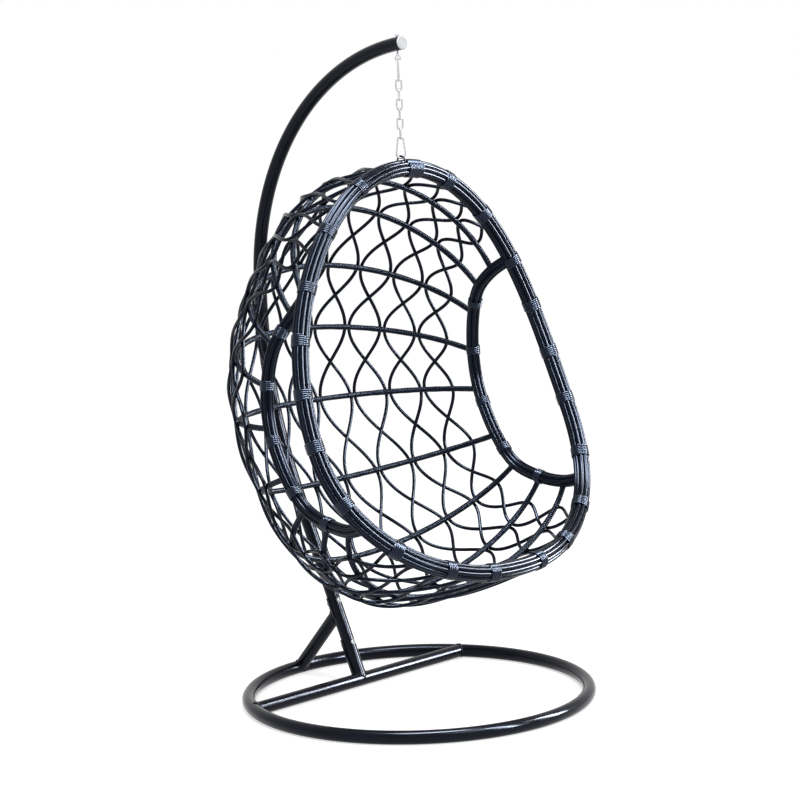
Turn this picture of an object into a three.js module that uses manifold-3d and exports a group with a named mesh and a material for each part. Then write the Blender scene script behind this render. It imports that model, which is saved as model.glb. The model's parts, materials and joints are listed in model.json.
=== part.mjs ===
// A hanging egg chair: a bent pole stands on a tubular ring and carries an open,
// woven basket on a short chain. Millimetres, +Z up, the basket faces -Y.
import * as THREE from 'three';
import { mergeVertices } from 'three/addons/utils/BufferGeometryUtils.js';
import Module from 'manifold-3d';

const wasm = await Module();
wasm.setup();

// ---- Driving dimensions -------------------------------------------------

// Gap kept between pieces that touch.
const CLEARANCE = 0.3;

// Stand: steel tube.
const TUBE_DIAMETER = 38;
const TUBE_WALL = 2;
const RING_DIAMETER = 1000;
const CROSS_BAR_BEHIND_CENTRE = 230;
const VENT_DIAMETER = 6;

// Pole: it leans back, bends upright, then bends forward over the basket.
const POLE_LEAN_DEG = 24;
const POLE_LEANING_LENGTH = 580;
const POLE_LOWER_BEND_RADIUS = 1400;
const POLE_UPRIGHT_LENGTH = 40;
const POLE_UPPER_BEND_RADIUS = 686;
const POLE_UPPER_BEND_DEG = 83;
const EYE_BEHIND_TIP = 16;

// Brace behind the pole, and the half shells that it and the foot are bolted by.
const BRACE_FOOT_BEHIND_CENTRE = 481;
const BRACE_TOP_UP_POLE = 205;
const SADDLE_WALL = 3;
const FOOT_SADDLE_LENGTH = 105;
const FOOT_BOLT_UP_POLE = 108;
const BRACE_SADDLE_LENGTH = 62;
const BRACE_SADDLE_PAST_BOLT = 16;
const BRACE_BOLT_UP_POLE = 236;
const BOLT_DIAMETER = 8;
const BOLT_HEAD_DIAMETER = 16;
const BOLT_HEAD_HEIGHT = 4;
const DOME_SHARE = 0.85;
const BOLT_END_PAST_NUT = 3;
const NUT_WIDTH = 13;
const NUT_HEIGHT = 6.5;

// Plug in the pole's open end.
const CAP_FLANGE_THICKNESS = 4;
const CAP_SPIGOT_BEFORE_BOLT = 3;

// Chain: eye bolt, upper hook, links, lower hook.
const CHAIN_TWIST_DEG = -42;
const EYE_SHANK_DIAMETER = 6;
const EYE_WIRE_DIAMETER = 4;
const EYE_INNER_DIAMETER = 10;
const EYE_BELOW_POLE = 15;
const EYE_NUT_WIDTH = 10;
const EYE_NUT_HEIGHT = 5;
const EYE_THREAD_PAST_NUT = 2;
const LINK_COUNT = 6;
const LINK_WIRE_DIAMETER = 5;
const LINK_INNER_LENGTH = 26.5;
const LINK_INNER_WIDTH = 10;
const HOOK_WIRE_DIAMETER = 5;
const UPPER_HOOK_INNER_LENGTH = 55;
const LOWER_HOOK_INNER_LENGTH = 53;
const HOOK_NARROW_INNER_WIDTH = 10;
const HOOK_WIDE_INNER_WIDTH = 20;
const GATE_LENGTH = 24;
const GATE_END_GAP = 0.6;
const GATE_TAPER_LENGTH = 3;
const GATE_TAPER_DIAMETER = 2.4;

// Basket: the front rim is an egg-shaped hoop, measured along its centre line.
const RIM_WIDTH = 1010;
const RIM_HEIGHT = 1075;
const RIM_WIDEST_BELOW_TOP = 705;
const RIM_LOWER_FULLNESS = 2.2;
const RIM_REACH = 380;
const RIM_STRAIGHT_SHARE = 0.25;
const RIM_THICKNESS = 48;
const RIM_BORE_DIAMETER = 30;
const RIM_DRAIN_DIAMETER = 8;
const SIDE_LOOP_THICKNESS = 38;
const RIB_THICKNESS = 16;
const STRAND_THICKNESS = 8;
const STRAND_PAIR_SPACING = 12;
const COLUMN_COUNT = 11;
const LOOP_TOP_BELOW_RIM_TOP = 284;
const LOOP_BOTTOM_BELOW_RIM_TOP = 905;
const BASKET_DEPTH = 500;

// Where each rib meets the side loops and where it passes the middle of the back.
// wide: share of half the rim's width. back: share of the basket's depth, measured
// from the rim's top. down: share of the rim's height, measured from its top.
const RIBS = [
  { end: { wide: 0.745, back: 0.03, down: 0.298 }, middle: { back: 0.37, down: 0.035 } },
  { end: { wide: 0.74, back: 0.13, down: 0.345 }, middle: { back: 0.61, down: 0.11 } },
  { end: { wide: 0.79, back: 0.225, down: 0.42 }, middle: { back: 0.82, down: 0.27 } },
  { end: { wide: 0.82, back: 0.265, down: 0.525 }, middle: { back: 0.97, down: 0.445 } },
  { end: { wide: 0.835, back: 0.24, down: 0.63 }, middle: { back: 0.95, down: 0.645 } },
  { end: { wide: 0.84, back: 0.12, down: 0.75 }, middle: { back: 0.75, down: 0.855 } },
  { end: { wide: 0.84, back: -0.02, down: 0.822 }, middle: { back: 0.44, down: 1.035 } },
  { end: { wide: 0.85, back: -0.2, down: 0.852 }, middle: { back: 0.08, down: 1.11 } },
  { end: { wide: 0.865, back: -0.37, down: 0.858 }, middle: { back: -0.24, down: 1.095 } },
];

// Steel arch on top of the rim, and the binding beside it.
const ARCH_WIRE_DIAMETER = 5;
const ARCH_WIDTH = 34;
const ARCH_HEIGHT = 12.7;
const ARCH_RISE_SHARE = 0.45;
const ARCH_FOOT_DEPTH = 17;
const BINDING_TURNS = 10;
const BINDING_STRAND_DIAMETER = 3.2;
const BINDING_PITCH = 5.6;
const BINDING_FROM_ARCH = 12;

// Facets: the sides of each section and the steps along each path.
const RING_STEPS = 40;
const POLE_LOWER_BEND_STEPS = 5;
const POLE_UPPER_BEND_STEPS = 20;
const TUBE_SIDES = 12;
const BORE_SIDES = 8;
const RIM_SAMPLES = 240;
const RIM_STEPS = 48;
const ARC_STEPS = 24;
const RIM_SIDES = 10;
const RIM_BORE_SIDES = 6;
const LOOP_STEPS = 16;
const LOOP_SIDES = 8;
const RIB_STEPS = 16;
const RIB_SIDES = 6;
const STRAND_STEPS_PER_GAP = 4;
const STRAND_SIDES = 4;
const WIRE_SIDES = 6;
const BOW_STEPS = 8;
const EYE_STEPS = 16;
const BOLT_SIDES = 10;
const GATE_SIDES = 8;
const HOLE_SIDES = 8;
const VENT_SIDES = 6;
const CAP_SIDES = 16;
const BINDING_STEPS_PER_TURN = 12;
const BINDING_SIDES = 4;

// ---- Materials ----------------------------------------------------------

const finish = (color, roughness, metalness) => () =>
  new THREE.MeshStandardMaterial({ color, roughness, metalness });
const coatedSteel = finish(0x11131c, 0.3, 0.2);
const zinc = finish(0xb9bcc0, 0.35, 0.9);
const capPlastic = finish(0xd9dadc, 0.4, 0);
const wicker = finish(0x0d1220, 0.35, 0);

// ---- Vectors, sections and sweeps ---------------------------------------

const radians = THREE.MathUtils.degToRad;
const vec = (x, y, z) => new THREE.Vector3(x, y, z);
const UP = vec(0, 0, 1);
const RIGHT = vec(1, 0, 0);

/** Points of a regular section; its first corner lies on the path's normal. */
function cornerSection(diameter, sides) {
  const points = [];
  for (let i = 0; i < sides; i += 1) {
    const turn = (2 * Math.PI * i) / sides;
    points.push([(diameter / 2) * Math.cos(turn), (diameter / 2) * Math.sin(turn)]);
  }
  return points;
}

/** Points of a regular section whose flats touch the given diameter. */
function flatSection(diameter, sides) {
  const radius = diameter / 2 / Math.cos(Math.PI / sides);
  const points = [];
  for (let i = 0; i < sides; i += 1) {
    const turn = (2 * Math.PI * (i + 0.5)) / sides;
    points.push([radius * Math.cos(turn), radius * Math.sin(turn)]);
  }
  return points;
}

/** Direction of the path at a point, halfway between its two neighbours. */
function tangentAt(points, index, closed) {
  const last = points.length - 1;
  const before = closed ? (index + last) % (last + 1) : Math.max(index - 1, 0);
  const after = closed ? (index + 1) % (last + 1) : Math.min(index + 1, last);
  return points[after].clone().sub(points[before]).normalize();
}

/** Sweep a section along points. Each normal says where the section's first axis points. */
function sweep(points, normals, section, closed = false) {
  const rings = points.map((point, index) => {
    const tangent = tangentAt(points, index, closed);
    const normal = normals[index].clone().addScaledVector(tangent, -tangent.dot(normals[index]));
    normal.normalize();
    const side = tangent.clone().cross(normal);
    return section.map(([a, b]) =>
      point.clone().addScaledVector(normal, a).addScaledVector(side, b));
  });
  const sides = section.length;
  const positions = rings.flat().flatMap((corner) => corner.toArray());
  const faces = [];
  const lastRing = closed ? rings.length : rings.length - 1;
  for (let r = 0; r < lastRing; r += 1) {
    const next = (r + 1) % rings.length;
    for (let i = 0; i < sides; i += 1) {
      const j = (i + 1) % sides;
      const [a, b] = [r * sides + i, r * sides + j];
      const [c, d] = [next * sides + i, next * sides + j];
      faces.push(a, b, d, a, d, c);
    }
  }
  if (!closed) {
    const end = (rings.length - 1) * sides;
    for (let i = 1; i < sides - 1; i += 1) {
      faces.push(0, i + 1, i, end, end + i, end + i + 1);
    }
  }
  const geometry = new THREE.BufferGeometry();
  geometry.setAttribute('position', new THREE.Float32BufferAttribute(positions, 3));
  geometry.setIndex(faces);
  return geometry;
}

/** The same normal for every point of a path. */
const allPoint = (points, normal) => points.map(() => normal);

// ---- Cuts and joins -----------------------------------------------------

/** Turn a closed geometry into a solid that can be cut. */
function toSolid(geometry) {
  const bare = geometry.clone();
  bare.deleteAttribute('normal');
  bare.deleteAttribute('uv');
  const merged = mergeVertices(bare, 1e-4);
  return new wasm.Manifold(new wasm.Mesh({
    numProp: 3,
    vertProperties: new Float32Array(merged.attributes.position.array),
    triVerts: new Uint32Array(merged.index.array),
  }));
}

/** Turn a solid back into a geometry. */
function toGeometry(solid) {
  const mesh = solid.getMesh();
  const geometry = new THREE.BufferGeometry();
  geometry.setAttribute('position', new THREE.Float32BufferAttribute(mesh.vertProperties, 3));
  geometry.setIndex(new THREE.Uint32BufferAttribute(mesh.triVerts, 1));
  return geometry;
}

/** The largest of the pieces that a cut leaves. */
function largest(solid) {
  const pieces = solid.decompose();
  return pieces.reduce((best, piece) => (piece.volume() > best.volume() ? piece : best));
}

/** Cut tools away from a geometry and keep the largest piece that is left. */
function cut(geometry, ...tools) {
  const solid = tools.reduce((rest, tool) => rest.subtract(toSolid(tool)), toSolid(geometry));
  return toGeometry(largest(solid));
}

/** Join geometries that overlap into one. */
function join(first, ...others) {
  return toGeometry(others.reduce((sum, other) => sum.add(toSolid(other)), toSolid(first)));
}

/** A cylinder from one point to another, with a corner on the given side. */
function rod(from, to, diameter, sides, side = RIGHT) {
  return sweep([from, to], [side, side], cornerSection(diameter, sides));
}

/** The same for a hole: its flats touch the diameter, so that a rod of it passes. */
function drill(from, to, diameter) {
  return sweep([from, to], [RIGHT, RIGHT], flatSection(diameter, HOLE_SIDES));
}

function mesh(name, geometry, material) {
  const piece = new THREE.Mesh(geometry, material());
  piece.name = name;
  return piece;
}

// ---- Stand --------------------------------------------------------------

const tubeRadius = TUBE_DIAMETER / 2;
const ringRadius = (RING_DIAMETER - TUBE_DIAMETER) / 2;
const ringHeight = tubeRadius;
const boreDiameter = TUBE_DIAMETER - 2 * TUBE_WALL;

/** Centre line of the base ring. */
const ringPoints = Array.from({ length: RING_STEPS }, (_, i) => {
  const turn = (2 * Math.PI * (i + 0.5)) / RING_STEPS;
  return vec(ringRadius * Math.cos(turn), ringRadius * Math.sin(turn), ringHeight);
});

function ringTube(section) {
  return sweep(ringPoints, allPoint(ringPoints, UP), section, true);
}

/** A hollow ring; a vent on its inner side opens the bore. */
function makeBaseRing() {
  const ventSide = vec(0, -ringRadius, ringHeight);
  const inside = vec(0, -ringRadius + TUBE_DIAMETER, ringHeight);
  const vent = rod(ventSide, inside, VENT_DIAMETER, VENT_SIDES, UP);
  const outer = ringTube(flatSection(TUBE_DIAMETER, TUBE_SIDES));
  return cut(outer, ringTube(flatSection(boreDiameter, BORE_SIDES)), vent);
}

const padded = (diameter) => diameter + 2 * CLEARANCE;
const paddedRing = ringTube(flatSection(padded(TUBE_DIAMETER), TUBE_SIDES));

/** A straight tube between two points. */
function straightTube(from, to, diameter, sides, normal) {
  return sweep([from, to], [normal, normal], flatSection(diameter, sides));
}

function crossBarTube(diameter, sides) {
  const half = Math.sqrt(ringRadius ** 2 - CROSS_BAR_BEHIND_CENTRE ** 2);
  const from = vec(-half, CROSS_BAR_BEHIND_CENTRE, ringHeight);
  const to = vec(half, CROSS_BAR_BEHIND_CENTRE, ringHeight);
  return straightTube(from, to, diameter, sides, UP);
}

/** The bar across the ring, its ends shaped to the ring's inner side. */
function makeCrossBar() {
  const bore = crossBarTube(boreDiameter, BORE_SIDES);
  return cut(crossBarTube(TUBE_DIAMETER, TUBE_SIDES), paddedRing, bore);
}

/** Centre line of the pole in its own plane, from the cross bar to the tip. */
function polePath() {
  const lean = radians(POLE_LEAN_DEG);
  const points = [];
  const foot = { y: CROSS_BAR_BEHIND_CENTRE, z: ringHeight };
  points.push(vec(0, foot.y, foot.z));
  const bend = {
    y: foot.y + POLE_LEANING_LENGTH * Math.sin(lean),
    z: foot.z + POLE_LEANING_LENGTH * Math.cos(lean),
  };
  for (let i = 0; i <= POLE_LOWER_BEND_STEPS; i += 1) {
    const angle = lean * (1 - i / POLE_LOWER_BEND_STEPS);
    points.push(vec(
      0,
      bend.y + POLE_LOWER_BEND_RADIUS * (Math.cos(angle) - Math.cos(lean)),
      bend.z + POLE_LOWER_BEND_RADIUS * (Math.sin(lean) - Math.sin(angle)),
    ));
  }
  const upright = points[points.length - 1];
  for (let i = 0; i <= POLE_UPPER_BEND_STEPS; i += 1) {
    const angle = (radians(POLE_UPPER_BEND_DEG) * i) / POLE_UPPER_BEND_STEPS;
    points.push(vec(
      0,
      upright.y - POLE_UPPER_BEND_RADIUS * (1 - Math.cos(angle)),
      upright.z + POLE_UPRIGHT_LENGTH + POLE_UPPER_BEND_RADIUS * Math.sin(angle),
    ));
  }
  return points;
}

const polePoints = polePath();
const poleTip = polePoints[polePoints.length - 1];
const tipDirection = poleTip.clone().sub(polePoints[polePoints.length - 2]).normalize();
const poleFoot = polePoints[0];
const leanDirection = polePoints[1].clone().sub(poleFoot).normalize();
const leanBack = leanDirection.clone().cross(RIGHT).negate();
const onPole = (length) => poleFoot.clone().addScaledVector(leanDirection, length);

function poleTube(diameter, sides) {
  return sweep(polePoints, allPoint(polePoints, RIGHT), flatSection(diameter, sides));
}

/** Where the eye bolt passes the pole's centre line: the basket hangs below this point. */
const hangPoint = poleTip.clone().addScaledVector(tipDirection, -EYE_BEHIND_TIP);

/** A bolt's hole through the leaning part of the pole. */
function boltHole(upPole, diameter) {
  const centre = onPole(upPole);
  const from = centre.clone().addScaledVector(leanBack, -2 * TUBE_DIAMETER);
  const to = centre.clone().addScaledVector(leanBack, 2 * TUBE_DIAMETER);
  return drill(from, to, diameter);
}

const boltHoles = [FOOT_BOLT_UP_POLE, BRACE_BOLT_UP_POLE].map((upPole) =>
  boltHole(upPole, padded(BOLT_DIAMETER)));

/** The bent tube, shaped to the cross bar at its foot and open at its tip. */
function makePole() {
  const eyeHole = drill(
    hangPoint.clone().addScaledVector(UP, -TUBE_DIAMETER),
    hangPoint.clone().addScaledVector(UP, TUBE_DIAMETER),
    padded(EYE_SHANK_DIAMETER),
  );
  const bar = crossBarTube(padded(TUBE_DIAMETER), TUBE_SIDES);
  const holes = [poleTube(boreDiameter, BORE_SIDES), bar, eyeHole, ...boltHoles];
  return cut(poleTube(TUBE_DIAMETER, TUBE_SIDES), ...holes);
}

const saddleOuter = TUBE_DIAMETER + 2 * (SADDLE_WALL + CLEARANCE);

/** A half shell that hugs the back of the pole. */
function makeSaddle(fromUpPole, length) {
  const from = onPole(fromUpPole);
  const shell = straightTube(from, onPole(fromUpPole + length), saddleOuter, TUBE_SIDES, RIGHT);
  const front = new THREE.BoxGeometry(2 * saddleOuter, 2 * saddleOuter, 4 * length);
  front.translate(0, -saddleOuter, 0);
  front.rotateX(-radians(POLE_LEAN_DEG));
  const middle = onPole(fromUpPole + length / 2);
  front.translate(middle.x, middle.y, middle.z);
  const bar = crossBarTube(padded(TUBE_DIAMETER), TUBE_SIDES);
  const boreEnds = [onPole(-TUBE_DIAMETER), onPole(POLE_LEANING_LENGTH)];
  const bore = straightTube(...boreEnds, padded(TUBE_DIAMETER), TUBE_SIDES, RIGHT);
  return cut(shell, bore, front, bar, ...boltHoles);
}

const braceFoot = vec(0, BRACE_FOOT_BEHIND_CENTRE, ringHeight);

/** The short strut from the ring's rear to the pole. */
function makeBrace() {
  const top = onPole(BRACE_TOP_UP_POLE);
  const poleEnds = [onPole(0), onPole(POLE_LEANING_LENGTH)];
  const pole = straightTube(...poleEnds, padded(saddleOuter), TUBE_SIDES, RIGHT);
  const outer = straightTube(braceFoot, top, TUBE_DIAMETER, TUBE_SIDES, RIGHT);
  const bore = straightTube(braceFoot, top, boreDiameter, BORE_SIDES, RIGHT);
  return cut(outer, bore, pole, paddedRing);
}

/** A bolt with a domed head in front of the pole and a bare end behind it. */
function makeFrameBolt(upPole) {
  const headRest = tubeRadius + CLEARANCE;
  const endReach = saddleOuter / 2 + CLEARANCE + NUT_HEIGHT + BOLT_END_PAST_NUT;
  const profile = [
    new THREE.Vector2(0, -headRest - BOLT_HEAD_HEIGHT),
    new THREE.Vector2(BOLT_HEAD_DIAMETER / 4, -headRest - BOLT_HEAD_HEIGHT * DOME_SHARE),
    new THREE.Vector2(BOLT_HEAD_DIAMETER / 2, -headRest),
    new THREE.Vector2(BOLT_DIAMETER / 2, -headRest),
    new THREE.Vector2(BOLT_DIAMETER / 2, endReach),
    new THREE.Vector2(0, endReach),
  ];
  return alongBolt(new THREE.LatheGeometry(profile, BOLT_SIDES), upPole);
}

/** Lay a geometry made along Y onto a bolt's axis. */
function alongBolt(geometry, upPole) {
  geometry.rotateX(-radians(POLE_LEAN_DEG));
  const centre = onPole(upPole);
  geometry.translate(centre.x, centre.y, centre.z);
  return geometry;
}

/** A hexagon nut with its bore, standing along Y from zero. */
function nutGeometry(width, height, bore) {
  const outline = new THREE.Shape(flatSection(width, 6).map(([a, b]) => new THREE.Vector2(a, b)));
  const hole = new THREE.Path(flatSection(bore, BOLT_SIDES).map(([a, b]) => new THREE.Vector2(a, b)));
  outline.holes.push(hole);
  const nut = new THREE.ExtrudeGeometry(outline, { depth: height, bevelEnabled: false });
  nut.rotateX(-Math.PI / 2);
  return nut;
}

function makeFrameNut(upPole) {
  const nut = nutGeometry(NUT_WIDTH, NUT_HEIGHT, padded(BOLT_DIAMETER));
  nut.translate(0, saddleOuter / 2 + CLEARANCE, 0);
  return alongBolt(nut, upPole);
}

/** The plug: a flange over the tube's end and a spigot inside its bore. */
function makeEndCap() {
  const spigot = boreDiameter / 2 - CLEARANCE;
  const spigotLength = EYE_BEHIND_TIP - EYE_SHANK_DIAMETER / 2 - CAP_SPIGOT_BEFORE_BOLT;
  const profile = [
    new THREE.Vector2(0, -spigotLength),
    new THREE.Vector2(spigot, -spigotLength),
    new THREE.Vector2(spigot, CLEARANCE),
    new THREE.Vector2(tubeRadius, CLEARANCE),
    new THREE.Vector2(tubeRadius, CLEARANCE + CAP_FLANGE_THICKNESS / 2),
    new THREE.Vector2(tubeRadius * DOME_SHARE, CLEARANCE + CAP_FLANGE_THICKNESS),
    new THREE.Vector2(0, CLEARANCE + CAP_FLANGE_THICKNESS),
  ];
  const cap = new THREE.LatheGeometry(profile, CAP_SIDES);
  cap.applyQuaternion(new THREE.Quaternion().setFromUnitVectors(vec(0, 1, 0), tipDirection));
  cap.translate(poleTip.x, poleTip.y, poleTip.z);
  return cap;
}

function makeStand() {
  const stand = new THREE.Group();
  stand.add(mesh('base_ring', makeBaseRing(), coatedSteel));
  stand.add(mesh('cross_bar', makeCrossBar(), coatedSteel));
  stand.add(mesh('curved_pole', makePole(), coatedSteel));
  stand.add(mesh('foot_saddle', makeSaddle(0, FOOT_SADDLE_LENGTH + tubeRadius), coatedSteel));
  const braceSaddleStart = BRACE_BOLT_UP_POLE + BRACE_SADDLE_PAST_BOLT - BRACE_SADDLE_LENGTH;
  stand.add(mesh('brace_saddle', makeSaddle(braceSaddleStart, BRACE_SADDLE_LENGTH), coatedSteel));
  stand.add(mesh('rear_brace', makeBrace(), coatedSteel));
  stand.add(mesh('foot_bolt', makeFrameBolt(FOOT_BOLT_UP_POLE), zinc));
  stand.add(mesh('foot_nut', makeFrameNut(FOOT_BOLT_UP_POLE), zinc));
  stand.add(mesh('brace_bolt', makeFrameBolt(BRACE_BOLT_UP_POLE), zinc));
  stand.add(mesh('brace_nut', makeFrameNut(BRACE_BOLT_UP_POLE), zinc));
  stand.add(mesh('pole_end_cap', makeEndCap(), capPlastic));
  return stand;
}

// ---- Chain --------------------------------------------------------------

/** Points around a closed bow: a narrow round end on top and a wide one below. */
function bowPoints(length, topRadius, bottomRadius) {
  const points = [];
  const spread = Math.asin((bottomRadius - topRadius) / (length - topRadius - bottomRadius));
  const topCentre = vec(0, 0, -topRadius);
  const bottomCentre = vec(0, 0, -length + bottomRadius);
  for (let i = 0; i <= BOW_STEPS; i += 1) {
    const turn = spread + ((Math.PI - 2 * spread) * i) / BOW_STEPS;
    points.push(vec(Math.cos(turn) * topRadius, 0, topCentre.z + Math.sin(turn) * topRadius));
  }
  for (let i = 0; i <= BOW_STEPS; i += 1) {
    const turn = Math.PI - spread + ((Math.PI + 2 * spread) * i) / BOW_STEPS;
    points.push(vec(Math.cos(turn) * bottomRadius, 0, bottomCentre.z + Math.sin(turn) * bottomRadius));
  }
  return points;
}

const FRONT = vec(0, -1, 0);

/** A chain link in the XZ plane, hanging from zero. */
function linkGeometry() {
  const radius = (LINK_INNER_WIDTH + LINK_WIRE_DIAMETER) / 2;
  const points = bowPoints(LINK_INNER_LENGTH + LINK_WIRE_DIAMETER, radius, radius);
  return sweep(points, outwardNormals(points), cornerSection(LINK_WIRE_DIAMETER, WIRE_SIDES), true);
}

/** Normals in the XZ plane, square to a closed path. */
function outwardNormals(points) {
  return points.map((_, index) => tangentAt(points, index, true).cross(FRONT).negate());
}

/** Ends of the gate's gap on the hook's right side, lower end first. */
function gatePlaces(length, topRadius, bottomRadius) {
  const points = bowPoints(length, topRadius, bottomRadius);
  const lower = points[points.length - 1];
  const upper = points[0];
  const along = upper.clone().sub(lower).normalize();
  const middle = upper.clone().add(lower).multiplyScalar(0.5);
  return {
    hinge: middle.clone().addScaledVector(along, -GATE_LENGTH / 2),
    nose: middle.clone().addScaledVector(along, GATE_LENGTH / 2),
    along,
  };
}

/** A hook's body: the bow without the stretch that its gate closes. */
function hookGeometry(length, topRadius, bottomRadius) {
  const bow = bowPoints(length, topRadius, bottomRadius);
  const { hinge, nose, along } = gatePlaces(length, topRadius, bottomRadius);
  const from = nose.clone().addScaledVector(along, GATE_END_GAP);
  const to = hinge.clone().addScaledVector(along, -GATE_END_GAP);
  const points = [from, ...bow, to];
  const normals = points.map((_, index) => tangentAt(points, index, false).cross(FRONT).negate());
  return sweep(points, normals, cornerSection(HOOK_WIRE_DIAMETER, WIRE_SIDES));
}

/** The gate: a round bar that narrows towards its pivot. */
function gateGeometry(length, topRadius, bottomRadius) {
  const { hinge, along } = gatePlaces(length, topRadius, bottomRadius);
  const profile = [
    new THREE.Vector2(0, 0),
    new THREE.Vector2(GATE_TAPER_DIAMETER / 2, 0),
    new THREE.Vector2(HOOK_WIRE_DIAMETER / 2, GATE_TAPER_LENGTH),
    new THREE.Vector2(HOOK_WIRE_DIAMETER / 2, GATE_LENGTH),
    new THREE.Vector2(0, GATE_LENGTH),
  ];
  const gate = new THREE.LatheGeometry(profile, GATE_SIDES);
  gate.applyQuaternion(new THREE.Quaternion().setFromUnitVectors(vec(0, 1, 0), along));
  gate.translate(hinge.x, hinge.y, hinge.z);
  return gate;
}

const hookNarrowRadius = (HOOK_NARROW_INNER_WIDTH + HOOK_WIRE_DIAMETER) / 2;
const hookWideRadius = (HOOK_WIDE_INNER_WIDTH + HOOK_WIRE_DIAMETER) / 2;
const linkLength = LINK_INNER_LENGTH + LINK_WIRE_DIAMETER;
const upperHookLength = UPPER_HOOK_INNER_LENGTH + HOOK_WIRE_DIAMETER;
const lowerHookLength = LOWER_HOOK_INNER_LENGTH + HOOK_WIRE_DIAMETER;
const eyeRadius = (EYE_INNER_DIAMETER + EYE_WIRE_DIAMETER) / 2;

/** How far a wire's centre lies above the centre of the wire that it hangs on. */
const seat = (upperWire, lowerWire) => (upperWire + lowerWire) / 2 + CLEARANCE;

// Heights below the hanging point, from the pole down: the centre of each wire.
const eyeCentre = -(tubeRadius + EYE_BELOW_POLE + eyeRadius - EYE_WIRE_DIAMETER / 2);
const eyeBottom = eyeCentre - eyeRadius;
const upperHookTop = eyeBottom + seat(EYE_WIRE_DIAMETER, HOOK_WIRE_DIAMETER);
const upperHookBottom = upperHookTop - upperHookLength;
const firstLinkTop = upperHookBottom + seat(HOOK_WIRE_DIAMETER, LINK_WIRE_DIAMETER);
const linkPitch = linkLength - seat(LINK_WIRE_DIAMETER, LINK_WIRE_DIAMETER);
const lastLinkBottom = firstLinkTop - (LINK_COUNT - 1) * linkPitch - linkLength;
const lowerHookTop = lastLinkBottom + seat(LINK_WIRE_DIAMETER, HOOK_WIRE_DIAMETER);
const lowerHookBottom = lowerHookTop - lowerHookLength;
const archCrown = lowerHookBottom + seat(HOOK_WIRE_DIAMETER, ARCH_WIRE_DIAMETER);
const rimTop = archCrown + ARCH_WIRE_DIAMETER / 2 - ARCH_HEIGHT - RIM_THICKNESS / 2;

/** The eye bolt: a shank through the pole and a closed eye below it. */
function makeEyeBolt() {
  const ring = Array.from({ length: EYE_STEPS }, (_, i) => {
    const turn = (2 * Math.PI * i) / EYE_STEPS;
    return vec(eyeRadius * Math.cos(turn), 0, eyeCentre + eyeRadius * Math.sin(turn));
  });
  const normals = ring.map((point) => point.clone().sub(vec(0, 0, eyeCentre)).normalize());
  const eye = sweep(ring, normals, cornerSection(EYE_WIRE_DIAMETER, WIRE_SIDES), true);
  const shankTop = eyeNutSeat + EYE_NUT_HEIGHT + EYE_THREAD_PAST_NUT;
  const shankEnd = vec(0, 0, eyeCentre + eyeRadius);
  return join(eye, rod(shankEnd, vec(0, 0, shankTop), EYE_SHANK_DIAMETER, HOLE_SIDES));
}

// The pole's top slopes at the eye bolt, so the nut rests on its higher side.
const tipSlope = Math.atan2(tipDirection.z, -tipDirection.y);
const eyeNutSeat = tubeRadius / Math.cos(Math.PI / TUBE_SIDES) / Math.cos(tipSlope)
  + (EYE_NUT_WIDTH / 2) * Math.tan(tipSlope) + CLEARANCE;

function makeEyeNut() {
  const nut = nutGeometry(EYE_NUT_WIDTH, EYE_NUT_HEIGHT, padded(EYE_SHANK_DIAMETER));
  nut.rotateX(Math.PI / 2);
  nut.translate(0, 0, eyeNutSeat);
  return nut;
}

/** Hang a piece made in the XZ plane: its top wire at a height, turned by quarter turns. */
function hang(name, geometry, height, quarterTurns) {
  const piece = mesh(name, geometry, zinc);
  piece.position.z = height;
  piece.rotation.z = (quarterTurns * Math.PI) / 2;
  return piece;
}

function makeChain() {
  const chain = new THREE.Group();
  chain.add(hang('eye_bolt', makeEyeBolt(), 0, 0));
  chain.add(hang('eye_nut', makeEyeNut(), 0, 0));
  const upper = [upperHookLength, hookNarrowRadius, hookWideRadius];
  chain.add(hang('upper_hook', hookGeometry(...upper), upperHookTop, 1));
  chain.add(hang('upper_hook_gate', gateGeometry(...upper), upperHookTop, 1));
  for (let i = 0; i < LINK_COUNT; i += 1) {
    chain.add(hang(`chain_link_${i + 1}`, linkGeometry(), firstLinkTop - i * linkPitch, i % 2));
  }
  const lower = [lowerHookLength, hookNarrowRadius, hookWideRadius];
  chain.add(hang('lower_hook', hookGeometry(...lower), lowerHookTop, LINK_COUNT % 2));
  chain.add(hang('lower_hook_gate', gateGeometry(...lower), lowerHookTop, LINK_COUNT % 2));
  chain.rotation.z = radians(CHAIN_TWIST_DEG);
  return chain;
}

// ---- Basket -------------------------------------------------------------
// Its own frame starts at the top of the front rim's centre line.

const halfWidth = RIM_WIDTH / 2;

/** Half the rim's width at a depth below its top. */
function rimHalfWidth(below) {
  const widest = RIM_WIDEST_BELOW_TOP;
  const upper = below <= widest;
  const share = upper ? 1 - below / widest : (below - widest) / (RIM_HEIGHT - widest);
  const fullness = upper ? 2 : RIM_LOWER_FULLNESS;
  return halfWidth * Math.max(0, 1 - Math.min(share, 1) ** fullness) ** (1 / fullness);
}

/** How far forward the rim has come at a depth below its top. */
function rimForward(below) {
  const share = below / RIM_HEIGHT;
  const rise = RIM_STRAIGHT_SHARE * share + (1 - RIM_STRAIGHT_SHARE) * share ** 3;
  return RIM_REACH * rise;
}

/** A point of the rim; the turn runs from 0 at the top over the right side to 2 pi. */
function rimPoint(turn) {
  const below = (RIM_HEIGHT * (1 - Math.cos(turn))) / 2;
  const side = Math.sin(turn) >= 0 ? 1 : -1;
  return vec(side * rimHalfWidth(below), -rimForward(below), -below);
}

/** The turn at which the rim's right side passes a depth below its top. */
const rimTurn = (below) => Math.acos(1 - (2 * below) / RIM_HEIGHT);

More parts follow.
